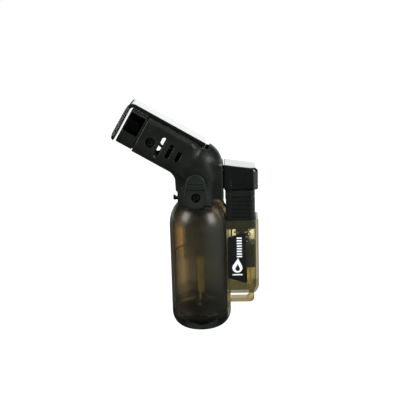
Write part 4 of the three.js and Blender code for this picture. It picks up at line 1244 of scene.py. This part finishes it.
def pale_floor():
    """A pale lit table. Gloss mirrors it only faintly, as if the room in front of it were dark."""
    n = Nodes("floor")
    n.set(Base_Color=n.tint(n.noise(3, 2), (0.93, 0.93, 0.93), (0.95, 0.95, 0.95)), Roughness=0.8)
    glow = n.add("ShaderNodeEmission", {"Strength": 1.3}).outputs[0]
    place = n.add("ShaderNodeSeparateXYZ", {"Vector": n.place}).outputs
    right = n.remap(place["X"], 0.05, 0.15, 0.05, 1.0)
    far = n.remap(place["Y"], 0.35, 0.7, 0, 1.5)
    strength = n.add("ShaderNodeMath", {0: right, 1: far}, operation="ADD").outputs[0]
    dim = n.add("ShaderNodeEmission", {"Strength": strength, "Color": COOL_WHITE}).outputs[0]
    mirrored = n.add("ShaderNodeLightPath").outputs["Is Glossy Ray"]
    lit = n.mixed(0.75, n.shader.outputs[0], glow)
    n.join(n.mixed(mirrored, lit, dim), n.out.inputs["Surface"])
    mesh = bpy.data.meshes.new("floor")
    corners = [(-FLOOR, -FLOOR, 0), (FLOOR, -FLOOR, 0), (FLOOR, FLOOR, 0), (-FLOOR, FLOOR, 0)]
    mesh.from_pydata(corners, [], [(0, 1, 2, 3)])
    mesh.materials.append(n.material)
    link("floor", mesh)


def softbox(name, at, target, size, power):
    light = bpy.data.lights.new(name, "AREA")
    light.shape = "RECTANGLE"
    light.size, light.size_y = size
    light.energy = power
    obj = link(name, light)
    obj.location = at
    obj.rotation_euler = (Vector(target) - Vector(at)).to_track_quat("-Z", "Y").to_euler()


def studio_sky():
    """A white surround for the camera, and a bright low wall behind the torch that its gloss mirrors."""
    world = bpy.data.worlds.new("studio")
    bpy.context.scene.world = world
    world.use_nodes = True
    sky = Graph(world.node_tree)
    sky.tree.nodes.clear()
    way = sky.add("ShaderNodeTexCoord").outputs["Generated"]
    links = {0: way, 1: BRIGHT_WAY}
    nearness = sky.add("ShaderNodeVectorMath", links, operation="DOT_PRODUCT").outputs["Value"]
    light = sky.remap(nearness, *WALL_EDGE, ROOM_LIGHT, WALL_LIGHT, "SMOOTHSTEP")
    lit, seen = (
        sky.add("ShaderNodeBackground", {"Strength": strength, "Color": WHITE}).outputs[0]
        for strength in (light, 1.0)
    )
    camera = sky.add("ShaderNodeLightPath").outputs["Is Camera Ray"]
    sky.add("ShaderNodeOutputWorld", {"Surface": sky.mixed(camera, lit, seen)})


def photo_camera():
    """The photograph's viewing angle: 0.42 m away, looking down by 15 degrees and slightly rolled."""
    target = Vector((0.009572, 0, 0.056286))
    distance, pitch, turn, roll = 0.42, math.radians(15), math.radians(2), math.radians(1.4)
    way = Vector((math.sin(turn) * math.cos(pitch), -math.cos(turn) * math.cos(pitch), math.sin(pitch)))
    camera = link("camera", bpy.data.cameras.new("camera"))
    camera.location = target + distance * way
    aim = (-way).to_track_quat("-Z", "Y").to_matrix()
    camera.rotation_euler = (aim @ Matrix.Rotation(-roll, 3, "Z")).to_euler()
    camera.data.lens = 79
    camera.data.sensor_width = 36
    camera.data.clip_start = 0.01
    bpy.context.scene.camera = camera


pale_floor()
studio_sky()
softbox("top", (0.05, 0.15, 0.9), (0.0, 0.0, 0.05), (0.9, 0.7), 4)
softbox("left", (-0.56, -0.33, 0.34), (0.0, 0.0, 0.05), (0.32, 0.38), 4.6)
softbox("right", (0.54, -0.4, 0.3), (0.01, 0.0, 0.05), (0.32, 0.38), 4.8)
photo_camera()
bpy.context.scene.view_settings.view_transform = "Standard"
bpy.context.scene.cycles.transparent_max_bounces = 24
